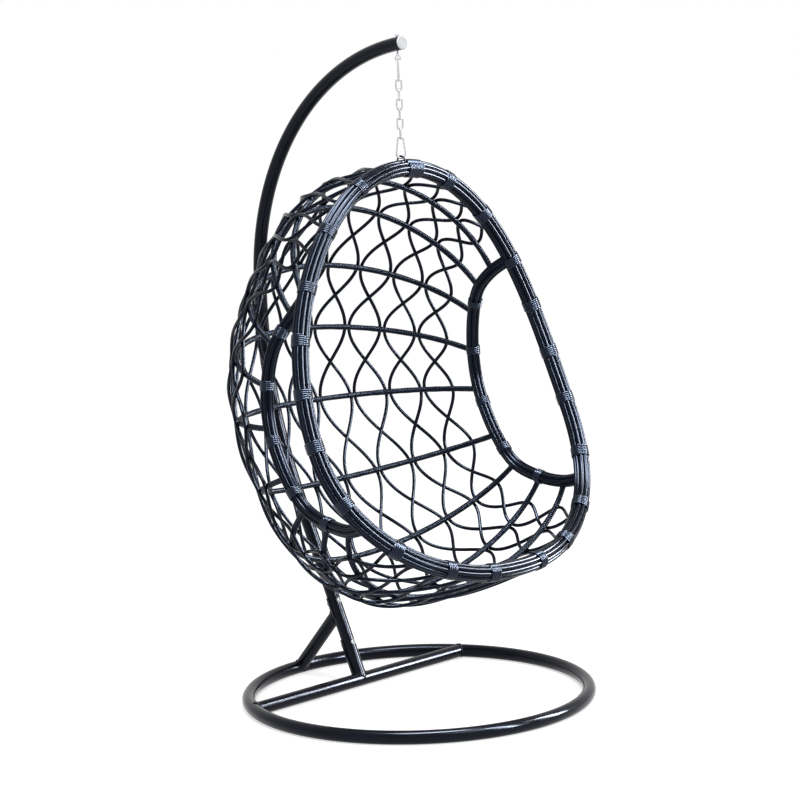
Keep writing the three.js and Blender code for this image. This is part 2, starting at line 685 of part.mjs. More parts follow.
/** Evenly spaced points between two turns of the rim. */
function rimStretch(fromTurn, toTurn, count) {
  const turns = toTurn - fromTurn;
  const fine = Array.from({ length: RIM_SAMPLES + 1 }, (_, i) =>
    rimPoint(fromTurn + (turns * i) / RIM_SAMPLES));
  const lengths = [0];
  for (let i = 1; i < fine.length; i += 1) {
    lengths.push(lengths[i - 1] + fine[i].distanceTo(fine[i - 1]));
  }
  const total = lengths[lengths.length - 1];
  return Array.from({ length: count + 1 }, (_, k) => {
    const goal = (total * k) / count;
    const index = Math.max(1, lengths.findIndex((length) => length >= goal - 1e-9));
    const share = (goal - lengths[index - 1]) / (lengths[index] - lengths[index - 1]);
    return fine[index - 1].clone().lerp(fine[index], share);
  });
}

const rimPoints = rimStretch(0, 2 * Math.PI, RIM_STEPS).slice(0, RIM_STEPS);
const rimCentre = vec(0, -rimForward(RIM_WIDEST_BELOW_TOP), -RIM_HEIGHT / 2);
const rimNormals = rimPoints.map((point) => point.clone().sub(rimCentre).normalize());

function rimTube(diameter, sides = RIM_SIDES) {
  return sweep(rimPoints, rimNormals, flatSection(diameter, sides), true);
}

/** The hoop: hollow along its middle, with a drain at the bottom of its hollow. */
function makeRim() {
  const lowest = rimPoint(Math.PI);
  const outside = lowest.clone().addScaledVector(UP, -RIM_THICKNESS);
  const drain = rod(lowest, outside, RIM_DRAIN_DIAMETER, VENT_SIDES);
  return cut(rimTube(RIM_THICKNESS), rimTube(RIM_BORE_DIAMETER, RIM_BORE_SIDES), drain);
}

const paddedRim = rimTube(padded(RIM_THICKNESS));

/** A rib's place in the basket's frame. */
function ribPlace(rib) {
  return {
    end: vec(rib.end.wide * halfWidth, rib.end.back * BASKET_DEPTH, -rib.end.down * RIM_HEIGHT),
    middle: vec(0, rib.middle.back * BASKET_DEPTH, -rib.middle.down * RIM_HEIGHT),
  };
}

const ribPlaces = RIBS.map(ribPlace);

/** A point of a rib: half an ellipse from its right end, past the middle, to its left end. */
function ribPoint(place, angle) {
  const { end, middle } = place;
  return vec(
    end.x * Math.cos(angle),
    end.y + (middle.y - end.y) * Math.sin(angle),
    end.z + (middle.z - end.z) * Math.sin(angle),
  );
}

const loopTopTurn = rimTurn(LOOP_TOP_BELOW_RIM_TOP);
const loopBottomTurn = rimTurn(LOOP_BOTTOM_BELOW_RIM_TOP);
const topArc = rimStretch(loopTopTurn, -loopTopTurn, ARC_STEPS);
const bottomArc = rimStretch(loopBottomTurn, 2 * Math.PI - loopBottomTurn, ARC_STEPS);

/** A point at an angle along an arc of the rim that spans half a turn of the ribs. */
function arcPoint(arc, angle) {
  const place = (angle / Math.PI) * ARC_STEPS;
  const index = THREE.MathUtils.clamp(Math.floor(place), 0, ARC_STEPS - 1);
  return arc[index].clone().lerp(arc[index + 1], place - index);
}

/** The basket's wall: station 0 is the rim's top, then each rib, then the rim's bottom. */
const stationCount = RIBS.length + 2;
function stationPoint(station, angle) {
  if (station === 0) return arcPoint(topArc, angle);
  if (station === stationCount - 1) return arcPoint(bottomArc, angle);
  return ribPoint(ribPlaces[station - 1], angle);
}

function wallPoint(station, angle) {
  const curve = new THREE.CatmullRomCurve3(
    Array.from({ length: stationCount }, (_, i) => stationPoint(i, angle)),
    false,
    'catmullrom',
    0.5,
  );
  return curve.getPoint(station / (stationCount - 1));
}

const basketMiddle = vec(0, BASKET_DEPTH / 3, -RIM_HEIGHT / 2);
const SLOPE_STEP = 0.01;

/** The wall's outward normal. */
function wallNormal(station, angle) {
  const low = Math.max(station - SLOPE_STEP, 0);
  const high = Math.min(station + SLOPE_STEP, stationCount - 1);
  const along = wallPoint(high, angle).sub(wallPoint(low, angle));
  const across = wallPoint(station, angle + SLOPE_STEP).sub(wallPoint(station, angle - SLOPE_STEP));
  const normal = along.cross(across).normalize();
  const outward = wallPoint(station, angle).sub(basketMiddle);
  return normal.dot(outward) < 0 ? normal.negate() : normal;
}

/** Centre line of the right side loop, through the ends of all ribs. */
function sideLoopPoints() {
  const curve = new THREE.CatmullRomCurve3([
    rimPoint(loopTopTurn),
    ...ribPlaces.map((place) => place.end),
    rimPoint(loopBottomTurn),
  ], false, 'centripetal');
  return curve.getSpacedPoints(LOOP_STEPS);
}

const mirrored = (points, side) => points.map((point) => vec(side * point.x, point.y, point.z));

function sideLoopTube(side, diameter) {
  const points = mirrored(sideLoopPoints(), side);
  return sweep(points, allPoint(points, vec(side, 0, 0)), flatSection(diameter, LOOP_SIDES));
}

const paddedLoops = [1, -1].map((side) => sideLoopTube(side, padded(SIDE_LOOP_THICKNESS)));

/** A wrapped rod around the basket, its ends shaped to the side loops. */
function makeRib(index) {
  const angles = Array.from({ length: RIB_STEPS + 1 }, (_, i) => (Math.PI * i) / RIB_STEPS);
  const points = angles.map((angle) => ribPoint(ribPlaces[index], angle));
  const normals = angles.map((angle) => wallNormal(index + 1, angle));
  const rib = sweep(points, normals, cornerSection(RIB_THICKNESS, RIB_SIDES));
  return cut(rib, ...paddedLoops, paddedRim);
}

const bindingEnd = BINDING_FROM_ARCH + BINDING_TURNS * BINDING_PITCH;

/** The place on the rim's facets, and its directions, at a distance right of the top. */
function rimTopFrame(along) {
  let index = 0;
  let rest = along;
  while (rest > rimPoints[index].distanceTo(rimPoints[index + 1])) {
    rest -= rimPoints[index].distanceTo(rimPoints[index + 1]);
    index += 1;
  }
  const tangent = rimPoints[index + 1].clone().sub(rimPoints[index]).normalize();
  const out = UP.clone().addScaledVector(tangent, -tangent.z).normalize();
  const centre = rimPoints[index].clone().addScaledVector(tangent, rest);
  return { centre, out, side: tangent.clone().cross(out) };
}

/** Centre line of the strand wound around the rim beside the arch: one unbroken helix. */
function bindingPath() {
  const cornerRadius = RIM_THICKNESS / 2 / Math.cos(Math.PI / RIM_SIDES);
  const innerReach = cornerRadius + BINDING_STRAND_DIAMETER / 2 + CLEARANCE;
  const radius = innerReach / Math.cos(Math.PI / BINDING_STEPS_PER_TURN);
  const steps = BINDING_TURNS * BINDING_STEPS_PER_TURN;
  const points = [];
  const normals = [];
  for (let i = 0; i <= steps; i += 1) {
    const along = BINDING_FROM_ARCH + (BINDING_PITCH * i) / BINDING_STEPS_PER_TURN;
    const { centre, out, side } = rimTopFrame(along);
    const spin = (2 * Math.PI * i) / BINDING_STEPS_PER_TURN;
    const normal = out.multiplyScalar(Math.cos(spin)).addScaledVector(side, Math.sin(spin));
    points.push(centre.addScaledVector(normal, radius));
    normals.push(normal);
  }
  return { points, normals };
}

/** Least clear distance between turns of the binding, measured at its points. */
function bindingGap(points) {
  let least = Infinity;
  const halfTurn = BINDING_STEPS_PER_TURN / 2;
  for (let i = 0; i < points.length; i += 1) {
    for (let j = i + halfTurn; j < points.length; j += 1) {
      least = Math.min(least, points[i].distanceTo(points[j]));
    }
  }
  return least - BINDING_STRAND_DIAMETER;
}

function makeBinding() {
  const { points, normals } = bindingPath();
  console.log(`top_binding: least gap to itself ${bindingGap(points).toFixed(2)} mm`);
  return sweep(points, normals, cornerSection(BINDING_STRAND_DIAMETER, BINDING_SIDES));
}

/** The room that the binding takes around the rim. */
function bindingSleeve() {
  const margin = BINDING_STRAND_DIAMETER;
  const distances = [BINDING_FROM_ARCH - margin, bindingEnd / 2, bindingEnd + margin];
  const places = distances.map(rimTopFrame);
  const room = RIM_THICKNESS + 4 * BINDING_STRAND_DIAMETER;
  return sweep(places.map((p) => p.centre), places.map((p) => p.out), flatSection(room, RIM_SIDES));
}

const bindingRoom = bindingSleeve();

const columnStep = Math.PI / (COLUMN_COUNT + 1);
const strandLift = (RIB_THICKNESS + STRAND_THICKNESS) / 2 + CLEARANCE;

/**
 * One strand between two neighbouring columns. It swings from column to column and
 * meets its partner midway between two ribs, one over and one under the other.
 */
function makeStrand(gap, phase) {
  const points = [];
  const normals = [];
  const middle = (gap + 1.5) * columnStep;
  const steps = (stationCount - 1) * STRAND_STEPS_PER_GAP;
  for (let i = 0; i <= steps; i += 1) {
    const station = i / STRAND_STEPS_PER_GAP;
    const before = wallPoint(station, middle - SLOPE_STEP);
    const after = wallPoint(station, middle + SLOPE_STEP);
    const perAngle = after.distanceTo(before) / (2 * SLOPE_STEP);
    const swing = columnStep / 2 - STRAND_PAIR_SPACING / 2 / perAngle;
    const angle = middle + phase * swing * Math.cos(Math.PI * station);
    const normal = wallNormal(station, angle);
    const over = Math.sin(Math.PI * station) * phase * (STRAND_THICKNESS / 2 + CLEARANCE);
    points.push(wallPoint(station, angle).addScaledVector(normal, strandLift + over));
    normals.push(normal);
  }
  const strand = sweep(points, normals, cornerSection(STRAND_THICKNESS, STRAND_SIDES));
  return cut(strand, paddedRim, bindingRoom, ...paddedLoops);
}

/** The steel arch that the lower hook passes under. */
function makeArch() {
  const radius = (ARCH_WIDTH - ARCH_WIRE_DIAMETER) / 2;
  const crown = RIM_THICKNESS / 2 + ARCH_HEIGHT - ARCH_WIRE_DIAMETER / 2;
  const rise = crown * ARCH_RISE_SHARE;
  const foot = crown - rise - ARCH_FOOT_DEPTH;
  const points = [vec(0, radius, foot)];
  for (let i = 0; i <= BOW_STEPS; i += 1) {
    const turn = (Math.PI * i) / BOW_STEPS;
    points.push(vec(0, radius * Math.cos(turn), crown - rise + rise * Math.sin(turn)));
  }
  points.push(vec(0, -radius, foot));
  return sweep(points, allPoint(points, RIGHT), cornerSection(ARCH_WIRE_DIAMETER, WIRE_SIDES));
}

function makeBasket() {
  const basket = new THREE.Group();
  basket.add(mesh('front_rim', makeRim(), wicker));
  const loops = [1, -1].map((side) => cut(sideLoopTube(side, SIDE_LOOP_THICKNESS), paddedRim));
  basket.add(mesh('side_loop_right', loops[0], wicker));
  basket.add(mesh('side_loop_left', loops[1], wicker));
  for (let i = 0; i < RIBS.length; i += 1) {
    basket.add(mesh(`rib_${i + 1}`, makeRib(i), wicker));
  }
  for (let gap = 0; gap < COLUMN_COUNT - 1; gap += 1) {
    basket.add(mesh(`strand_${gap + 1}_over`, makeStrand(gap, 1), wicker));
    basket.add(mesh(`strand_${gap + 1}_under`, makeStrand(gap, -1), wicker));
  }
  basket.add(mesh('hanging_arch', cut(makeArch(), paddedRim), coatedSteel));
  basket.add(mesh('top_binding', makeBinding(), wicker));
  basket.position.z = rimTop;
  return basket;
}

// ---- The whole chair ----------------------------------------------------

const hanging = new THREE.Group();
hanging.position.copy(hangPoint);
hanging.add(makeChain(), makeBasket());

const chair = new THREE.Group();
chair.add(makeStand(), hanging);

// The origin lies on the ground under the middle of the whole chair.
chair.updateMatrixWorld(true);
const extent = new THREE.Box3().setFromObject(chair);
chair.position.y = -(extent.min.y + extent.max.y) / 2;

export default chair;
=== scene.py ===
"""A hanging egg chair: a woven basket on a chain below a bent tubular stand.

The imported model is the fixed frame. Every piece of it gets a detailed twin here: smooth
tubes for the stand, round links and hooks for the chain, and bundled, wound and woven
strands for the basket. Lengths are in metres, +Z is up and the basket faces -Y.
"""

import json
import logging
import math
from dataclasses import dataclass, field
from enum import Enum
from functools import cache
from typing import Callable, Sequence

import bpy
import numpy as np
from mathutils import Matrix, Vector

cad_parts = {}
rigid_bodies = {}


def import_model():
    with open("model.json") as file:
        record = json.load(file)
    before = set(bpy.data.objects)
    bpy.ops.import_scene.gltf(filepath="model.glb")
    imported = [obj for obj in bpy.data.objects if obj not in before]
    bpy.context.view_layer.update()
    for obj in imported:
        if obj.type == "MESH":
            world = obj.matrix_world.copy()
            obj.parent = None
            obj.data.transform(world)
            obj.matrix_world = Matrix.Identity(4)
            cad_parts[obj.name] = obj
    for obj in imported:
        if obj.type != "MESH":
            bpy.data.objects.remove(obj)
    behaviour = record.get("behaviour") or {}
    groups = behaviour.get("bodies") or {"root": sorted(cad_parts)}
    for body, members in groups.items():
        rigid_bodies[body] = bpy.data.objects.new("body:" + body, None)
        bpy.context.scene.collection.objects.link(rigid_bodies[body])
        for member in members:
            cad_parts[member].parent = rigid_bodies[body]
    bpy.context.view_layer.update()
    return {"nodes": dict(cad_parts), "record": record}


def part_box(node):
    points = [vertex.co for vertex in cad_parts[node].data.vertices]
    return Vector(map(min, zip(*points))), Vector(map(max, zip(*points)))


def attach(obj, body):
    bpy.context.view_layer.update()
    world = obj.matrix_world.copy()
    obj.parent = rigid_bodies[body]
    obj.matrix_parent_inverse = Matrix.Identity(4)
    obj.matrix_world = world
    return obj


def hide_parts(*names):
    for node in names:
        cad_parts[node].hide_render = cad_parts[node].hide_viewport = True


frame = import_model()

logging.basicConfig(level=logging.INFO, format="%(message)s")
log = logging.getLogger("egg_chair")

Array = np.ndarray
Socket = bpy.types.NodeSocket
Triple = tuple[float, float, float]
Span = tuple[float, float]

MM = 0.001
CIRCLE = 2 * math.pi
RIGHT, BACK, UP = np.eye(3)

# Sizes that more than one sub-assembly needs.
CLEARANCE = 0.3 * MM
TUBE_RADIUS = 19 * MM
WIRE = 5 * MM


# ---- Vectors and paths ----


def unit(vectors: Array) -> Array:
    """Scale vectors to length one: each is divided by its own length."""
    shortest = 1e-12
    return vectors / np.maximum(np.linalg.norm(vectors, axis=-1, keepdims=True), shortest)


def tangents(points: Array, closed: bool) -> Array:
    """Directions of a path: from each point's neighbour before it to the one after it.

    Args:
        points: (n, 3) path.
        closed: whether the last point joins the first.

    Returns:
        (n, 3) unit directions.
    """
    if closed:
        return unit(np.roll(points, -1, axis=0) - np.roll(points, 1, axis=0))
    return unit(np.gradient(points, axis=0))


def square_to(directions: Array, references: Array) -> tuple[Array, Array]:
    """Two axes square to directions: the reference less its part along them, and their cross.

    Args:
        directions: (..., 3) unit directions.
        references: wanted first axis, one or one per direction.

    Returns:
        The first and second axes, shaped as the directions.
    """
    wanted = np.broadcast_to(references, directions.shape)
    along = np.sum(wanted * directions, axis=-1, keepdims=True)
    first = unit(wanted - along * directions)
    return first, np.cross(directions, first)


def even_turns(count: int) -> Array:
    """Angles spread evenly once around, without the last, which is the first again."""
    return np.linspace(0.0, CIRCLE, count, endpoint=False)


def spoke(turns: Array, first: Array, second: Array) -> Array:
    """Vectors around an axis: the turn's cosine times one square axis, its sine times the other."""
    return np.cos(turns) * first + np.sin(turns) * second


def wheel(axis: Array, sides: int, reference: Array = RIGHT) -> Array:
    """So many even spokes square to an axis; the first leans to the reference."""
    return spoke(even_turns(sides)[:, None], *square_to(axis[None, :], reference))


def between_rows(places: Array, known: Array, rows: Array) -> Array:
    """Read a table between its known rows, as a blend of the two nearest."""
    return np.stack([np.interp(places, known, column) for column in rows.T], axis=-1)


def arc_lengths(points: Array) -> Array:
    """Distance of each point of a path from its start: the sum of the steps so far."""
    return np.concatenate([[0.0], np.cumsum(np.linalg.norm(np.diff(points, axis=0), axis=1))])


def point_at(points: Array, distance: Array) -> Array:
    """Points of a path at distances from its start, on the chords between its points."""
    return between_rows(distance, arc_lengths(points), points)


def heading(points: Array, distance: Array) -> Array:
    """Direction of a path at distances, from a little before each to a little after."""
    little = 2 * MM
    return unit(point_at(points, distance + little) - point_at(points, distance - little))


def resample(points: Array, count: int) -> Array:
    """Spread so many points evenly along a path."""
    return point_at(points, np.linspace(0.0, arc_lengths(points)[-1], count))


def hermite(share: Array, start: Array, end: Array, leaving: Array, arriving: Array) -> Array:
    """A cubic from one point to the next with given slopes at both.

    Each point and each slope is weighted by its own cubic of the share, which is 1 at its
    own place and 0 at the other.

    Args:
        share: share of the way, 0 to 1.
        start: first point.
        end: last point.
        leaving: slope at the first.
        arriving: slope at the last.

    Returns:
        The points.
    """
    square, cube = share ** 2, share ** 3
    return ((2 * cube - 3 * square + 1) * start + (cube - 2 * square + share) * leaving
            + (3 * square - 2 * cube) * end + (cube - square) * arriving)


def with_ghosts(rows: Array) -> Array:
    """Rows with one more at each end, as far past the end as its neighbour lies inside."""
    return np.concatenate([2 * rows[:1] - rows[1:2], rows, 2 * rows[-1:] - rows[-2:-1]])


def centripetal(knots: Array, steps: int) -> Array:
    """A Catmull-Rom curve through points, whose knots lie root distances apart.

    Args:
        knots: (n, 3) points.
        steps: steps between two of them.

    Returns:
        Points of the curve.
    """
    padded = with_ghosts(knots)
    share = np.linspace(0.0, 1.0, steps, endpoint=False)[:, None]
    pieces = []
    for index in range(len(knots) - 1):
        p0, p1, p2, p3 = padded[index:index + 4]
        before, here, after = (
            math.sqrt(np.linalg.norm(b - a)) for a, b in ((p0, p1), (p1, p2), (p2, p3)))
        leaving = ((p1 - p0) / before - (p2 - p0) / (before + here) + (p2 - p1) / here) * here
        arriving = ((p2 - p1) / here - (p3 - p1) / (here + after) + (p3 - p2) / after) * here
        pieces.append(hermite(share, p1, p2, leaving, arriving))
    return np.concatenate([*pieces, knots[-1:]])


def smooth_noise(random: np.random.Generator, count: int, spacing: int,
                 closed: bool = False) -> Array:
    """Smooth values between -1 and 1: random knots, with an easing curve between them.

    Args:
        random: the seeded source.
        count: how many values.
        spacing: how many of them lie between two knots.
        closed: whether the last runs into the first.

    Returns:
        (count,) values.
    """
    knots = random.uniform(-1.0, 1.0, max(count // spacing, 2) + 1)
    if closed:
        knots[-1] = knots[0]
    place = np.linspace(0.0, len(knots) - 1, count)
    index = np.clip(place.astype(int), 0, len(knots) - 2)
    share = place - index
    share = share * share * (3 - 2 * share)
    return knots[index] * (1 - share) + knots[index + 1] * share


def oval(radius: float, sides: int, flat: float = 1.0) -> Array:
    """Points of a section: cosine and sine of even turns times its two half sizes."""
    turns = even_turns(sides)
    return np.stack([radius * np.cos(turns), radius * flat * np.sin(turns)], axis=1)


def show(name: str, data: bpy.types.ID) -> bpy.types.Object:
    """Put a mesh, lamp or camera into the scene as an object.

    Args:
        name: the object's name.
        data: what it shows.

    Returns:
        The object.
    """
    piece = bpy.data.objects.new(name, data)
    bpy.context.scene.collection.objects.link(piece)
    return piece


# ---- Finishes ----


@dataclass(frozen=True)
class Noise:
    """A noise texture.

    Attributes:
        scale: how fine it is, per metre.
        detail: its octaves.
        stretch: scale along each axis.
    """

    scale: float
    detail: float
    stretch: Triple = (1.0, 1.0, 1.0)


@dataclass(frozen=True)
class Relief:
    """A bump from noise, with its strength and its depth in metres."""

    noise: Noise
    strength: float
    depth: float


@dataclass
class NodeTree:
    """A short way to write the nodes of a material or a world.

    Attributes:
        owner: the material or world.
        shader: its shader node.
        place: the coordinates that its noise reads.
    """

    owner: bpy.types.ID
    shader: bpy.types.Node
    place: Socket | None = None

    # Nearly all of a noise texture's values lie between these two.
    NOISE_LOW, NOISE_HIGH = 0.3, 0.7

    @classmethod
    def start(cls, owner: bpy.types.ID, shader: str = "Principled BSDF") -> "NodeTree":
        """Start the nodes of a new material or world, whose shader is found by name."""
        owner.use_nodes = True
        return cls(owner, owner.node_tree.nodes[shader])

    def add(self, kind: str, **settings: object) -> bpy.types.Node:
        """Add a node.

        Args:
            kind: its type name.
            settings: its properties and, by socket name with spaces as _, its inputs.

        Returns:
            The node.
        """
        node = self.owner.node_tree.nodes.new(kind)
        for key, value in settings.items():
            socket = node.inputs.get(key.replace("_", " "))
            if socket is not None:
                socket.default_value = value
            else:
                setattr(node, key, value)
        return node

    def join(self, source: Socket, target: bpy.types.Node, name: str | int) -> None:
        """Link an output to an input of a node, by its name or number."""
        self.owner.node_tree.links.new(source, target.inputs[name])

    def noise(self, noise: Noise) -> Socket:
        """Add a noise texture at the material's coordinates.

        Args:
            noise: its settings.

        Returns:
            Its value, 0 to 1.
        """
        mapping = self.add("ShaderNodeMapping", Scale=noise.stretch)
        self.join(self.place, mapping, "Vector")
        texture = self.add("ShaderNodeTexNoise", Scale=noise.scale, Detail=noise.detail)
        self.join(mapping.outputs["Vector"], texture, "Vector")
        return texture.outputs["Fac"]

    def colour(self, value: Socket, stops: Sequence[tuple[float, Triple]]) -> None:
        """Colour the shader by a ramp.

        Args:
            value: what the ramp reads.
            stops: its positions with their colours.
        """
        node = self.add("ShaderNodeValToRGB")
        ends = node.color_ramp.elements
        ends[0].position, ends[1].position = stops[0][0], stops[-1][0]
        for position, _ in stops[1:-1]:
            ends.new(position)
        for element, (_, colour) in zip(ends, stops):
            element.color = (*colour, 1.0)
        self.join(value, node, "Fac")
        self.join(node.outputs["Color"], self.shader, "Base Color")

    def stretch(self, value: Socket, known: Span, wanted: Span) -> Socket:
        """Move and scale a value so that one span of it becomes another.

        Args:
            value: the value.
            known: its usual lowest and highest.
            wanted: what they become.

        Returns:
            The new value.
        """
        node = self.add("ShaderNodeMapRange", From_Min=known[0], From_Max=known[1],
                        To_Min=wanted[0], To_Max=wanted[1])
        self.join(value, node, "Value")
        return node.outputs["Result"]

    def roughness(self, noise: Noise, span: Span) -> Socket:
        """A noise's value, whose usual lowest and highest become the span's."""
        return self.stretch(self.noise(noise), (self.NOISE_LOW, self.NOISE_HIGH), span)

    def seen(self, span: Span) -> Socket:
        """A value that is larger for rays that see the backdrop itself.

        The largest of three light path values, each 0 or 1, becomes the span's low or high.

        Args:
            span: the value for other rays, and for camera, glossy and transmission rays.

        Returns:
            The output socket.
        """
        path = self.add("ShaderNodeLightPath")
        total = path.outputs["Is Camera Ray"]
        for name in ("Is Glossy Ray", "Is Transmission Ray"):
            larger = self.add("ShaderNodeMath", operation="MAXIMUM")
            self.join(total, larger, 0)
            self.join(path.outputs[name], larger, 1)
            total = larger.outputs["Value"]
        return self.stretch(total, (0.0, 1.0), span)

    def mix(self, value: Socket, factor: float, rest: Socket) -> Socket:
        """A value times a factor, plus another value.

        Args:
            value: the first value.
            factor: what it is multiplied by.
            rest: what is added.

        Returns:
            The sum.
        """
        node = self.add("ShaderNodeMath", operation="MULTIPLY_ADD")
        node.inputs[1].default_value = factor
        self.join(value, node, 0)
        self.join(rest, node, 2)
        return node.outputs["Value"]

    def bump(self, relief: Relief) -> None:
        """Add a bump, on top of what the shader has already.

        Args:
            relief: its settings.
        """
        node = self.add("ShaderNodeBump", Strength=relief.strength, Distance=relief.depth)
        self.join(self.noise(relief.noise), node, "Height")
        for old in self.shader.inputs["Normal"].links:
            self.join(old.from_socket, node, "Normal")
        self.join(node.outputs["Normal"], self.shader, "Normal")

    def set(self, **inputs: object) -> None:
        """Set the shader's own inputs, by socket name with spaces as _."""
        for key, value in inputs.items():
            self.shader.inputs[key.replace("_", " ")].default_value = value


@dataclass(frozen=True)
class Coating:
    """A finish whose pattern lies in space: clouds of shade, uneven gloss and relief.

    The clouds shade it from dark to light, and the smudges move its roughness within its
    span. Its name is its slot in the record as well.
    """

    name: str
    clouds: Noise
    dark: Triple
    light: Triple
    smudges: Noise
    roughness: Span
    reliefs: tuple[Relief, ...]
    metallic: float = 0.0
    gloss: float = 0.5
    gloss_tint: Triple = (1.0, 1.0, 1.0)

    @property
    def slot(self) -> str:
        """The record's material slot that it belongs to."""
        return self.name

    def make(self) -> bpy.types.Material:
        """Make its material.

        Returns:
            The material.
        """
        tree = NodeTree.start(bpy.data.materials.new(self.name))
        tree.place = tree.add("ShaderNodeTexCoord").outputs["Object"]
        stops = ((tree.NOISE_LOW, self.dark), (tree.NOISE_HIGH, self.light))
        tree.colour(tree.noise(self.clouds), stops)
        tree.join(tree.roughness(self.smudges, self.roughness), tree.shader, "Roughness")
        for relief in self.reliefs:
            tree.bump(relief)
        tree.set(Metallic=self.metallic, Specular_IOR_Level=self.gloss,
                 Specular_Tint=(*self.gloss_tint, 1.0))
        return tree.owner


@dataclass(frozen=True)
class Rattan:
    """Blue-black round synthetic rattan: lengthwise grooves, and a shade per strand.

    Its noise reads the mesh's own UVs, which count metres across and along a strand. The
    grain is added to the strand's tint before the stops colour it, and a lighter strand is
    rougher.
    """

    name: str
    gloss: float
    roughness: Span
    slot: str = "wicker"
    stops: tuple[tuple[float, Triple], ...] = (
        (0.15, (0.002, 0.0028, 0.006)),
        (0.5, (0.0036, 0.0054, 0.0125)),
        (0.8, (0.0055, 0.0086, 0.02)),
        (1.0, (0.013, 0.019, 0.036)),
    )
    gloss_tint: Triple = (0.55, 0.7, 1.0)
    grain: Noise = Noise(1.0, 3.0, (1400.0, 9.0, 1.0))
    grain_shade: float = 0.35
    scuffs: Noise = Noise(1.0, 4.0, (500.0, 30.0, 1.0))
    tint_roughness: float = 0.14
    reliefs: tuple[Relief, ...] = (
        Relief(Noise(1.0, 3.0, (1400.0, 9.0, 1.0)), 0.06, 0.02 * MM),
        Relief(Noise(1.0, 2.0, (90.0, 14.0, 1.0)), 0.04, 0.3 * MM),
    )

    def make(self) -> bpy.types.Material:
        """Make its material.

        Returns:
            The material.
        """
        tree = NodeTree.start(bpy.data.materials.new(self.name))
        tree.place = tree.add("ShaderNodeUVMap", uv_map="strand").outputs["UV"]
        tint = tree.add("ShaderNodeAttribute", attribute_name="tint").outputs["Fac"]
        tree.colour(tree.mix(tree.noise(self.grain), self.grain_shade, tint), self.stops)
        smooth = tree.roughness(self.scuffs, self.roughness)
        tree.join(tree.mix(tint, self.tint_roughness, smooth), tree.shader, "Roughness")
        for relief in self.reliefs:
            tree.bump(relief)
        tree.set(Specular_IOR_Level=self.gloss, Specular_Tint=(*self.gloss_tint, 1.0))
        return tree.owner


class Finish(Enum):
    """The finishes of the pieces."""

    # Blue-black powder coat: glossy, with a fine orange peel and faint dust.
    STEEL = Coating(
        "coated_steel", Noise(9.0, 4.0), (0.003, 0.0032, 0.0055), (0.006, 0.0063, 0.0105),
        Noise(26.0, 6.0), (0.12, 0.22),
        (Relief(Noise(520.0, 2.0), 0.2, 0.1 * MM), Relief(Noise(70.0, 3.0), 0.12, 0.3 * MM)),
        gloss=0.15, gloss_tint=(0.66, 0.76, 1.0))
    # Bright zinc plate: cloudy, with small scratches.
    ZINC = Coating(
        "zinc_steel", Noise(160.0, 3.0), (0.46, 0.47, 0.49), (0.7, 0.71, 0.74),
        Noise(420.0, 4.0), (0.12, 0.3),
        (Relief(Noise(500.0, 2.0, (1.0, 1.0, 0.08)), 0.2, 0.08 * MM),), metallic=1.0)
    # Satin silver-grey plastic with a moulded grain.
    CAP = Coating(
        "end_cap", Noise(60.0, 4.0), (0.58, 0.59, 0.61), (0.7, 0.71, 0.73),
        Noise(60.0, 4.0), (0.34, 0.5), (Relief(Noise(1600.0, 2.0), 0.3, 0.1 * MM),))
    # The strands of the bundles, ribs and weave: smooth, with a sharp gloss.
    STRAND = Rattan("wicker", 0.15, (0.07, 0.15))
    # The strand of the windings: satin, so that each turn catches light along its length.
    WINDING = Rattan("wicker_winding", 0.35, (0.08, 0.16))


@cache
def material(finish: Finish) -> bpy.types.Material:
    """The material of a finish, made when it is first asked for."""
    return finish.value.make()


def dress_frame() -> None:
    """Give every node of the frame the finish of its slot."""
    by_slot = {finish.value.slot: finish for finish in reversed(Finish)}
    for part in frame["record"]["subparts"]:
        node = frame["nodes"][part["node"]]
        node.data.materials.clear()
        node.data.materials.append(material(by_slot[part["material_slot"]]))


# ---- Mesh building ----


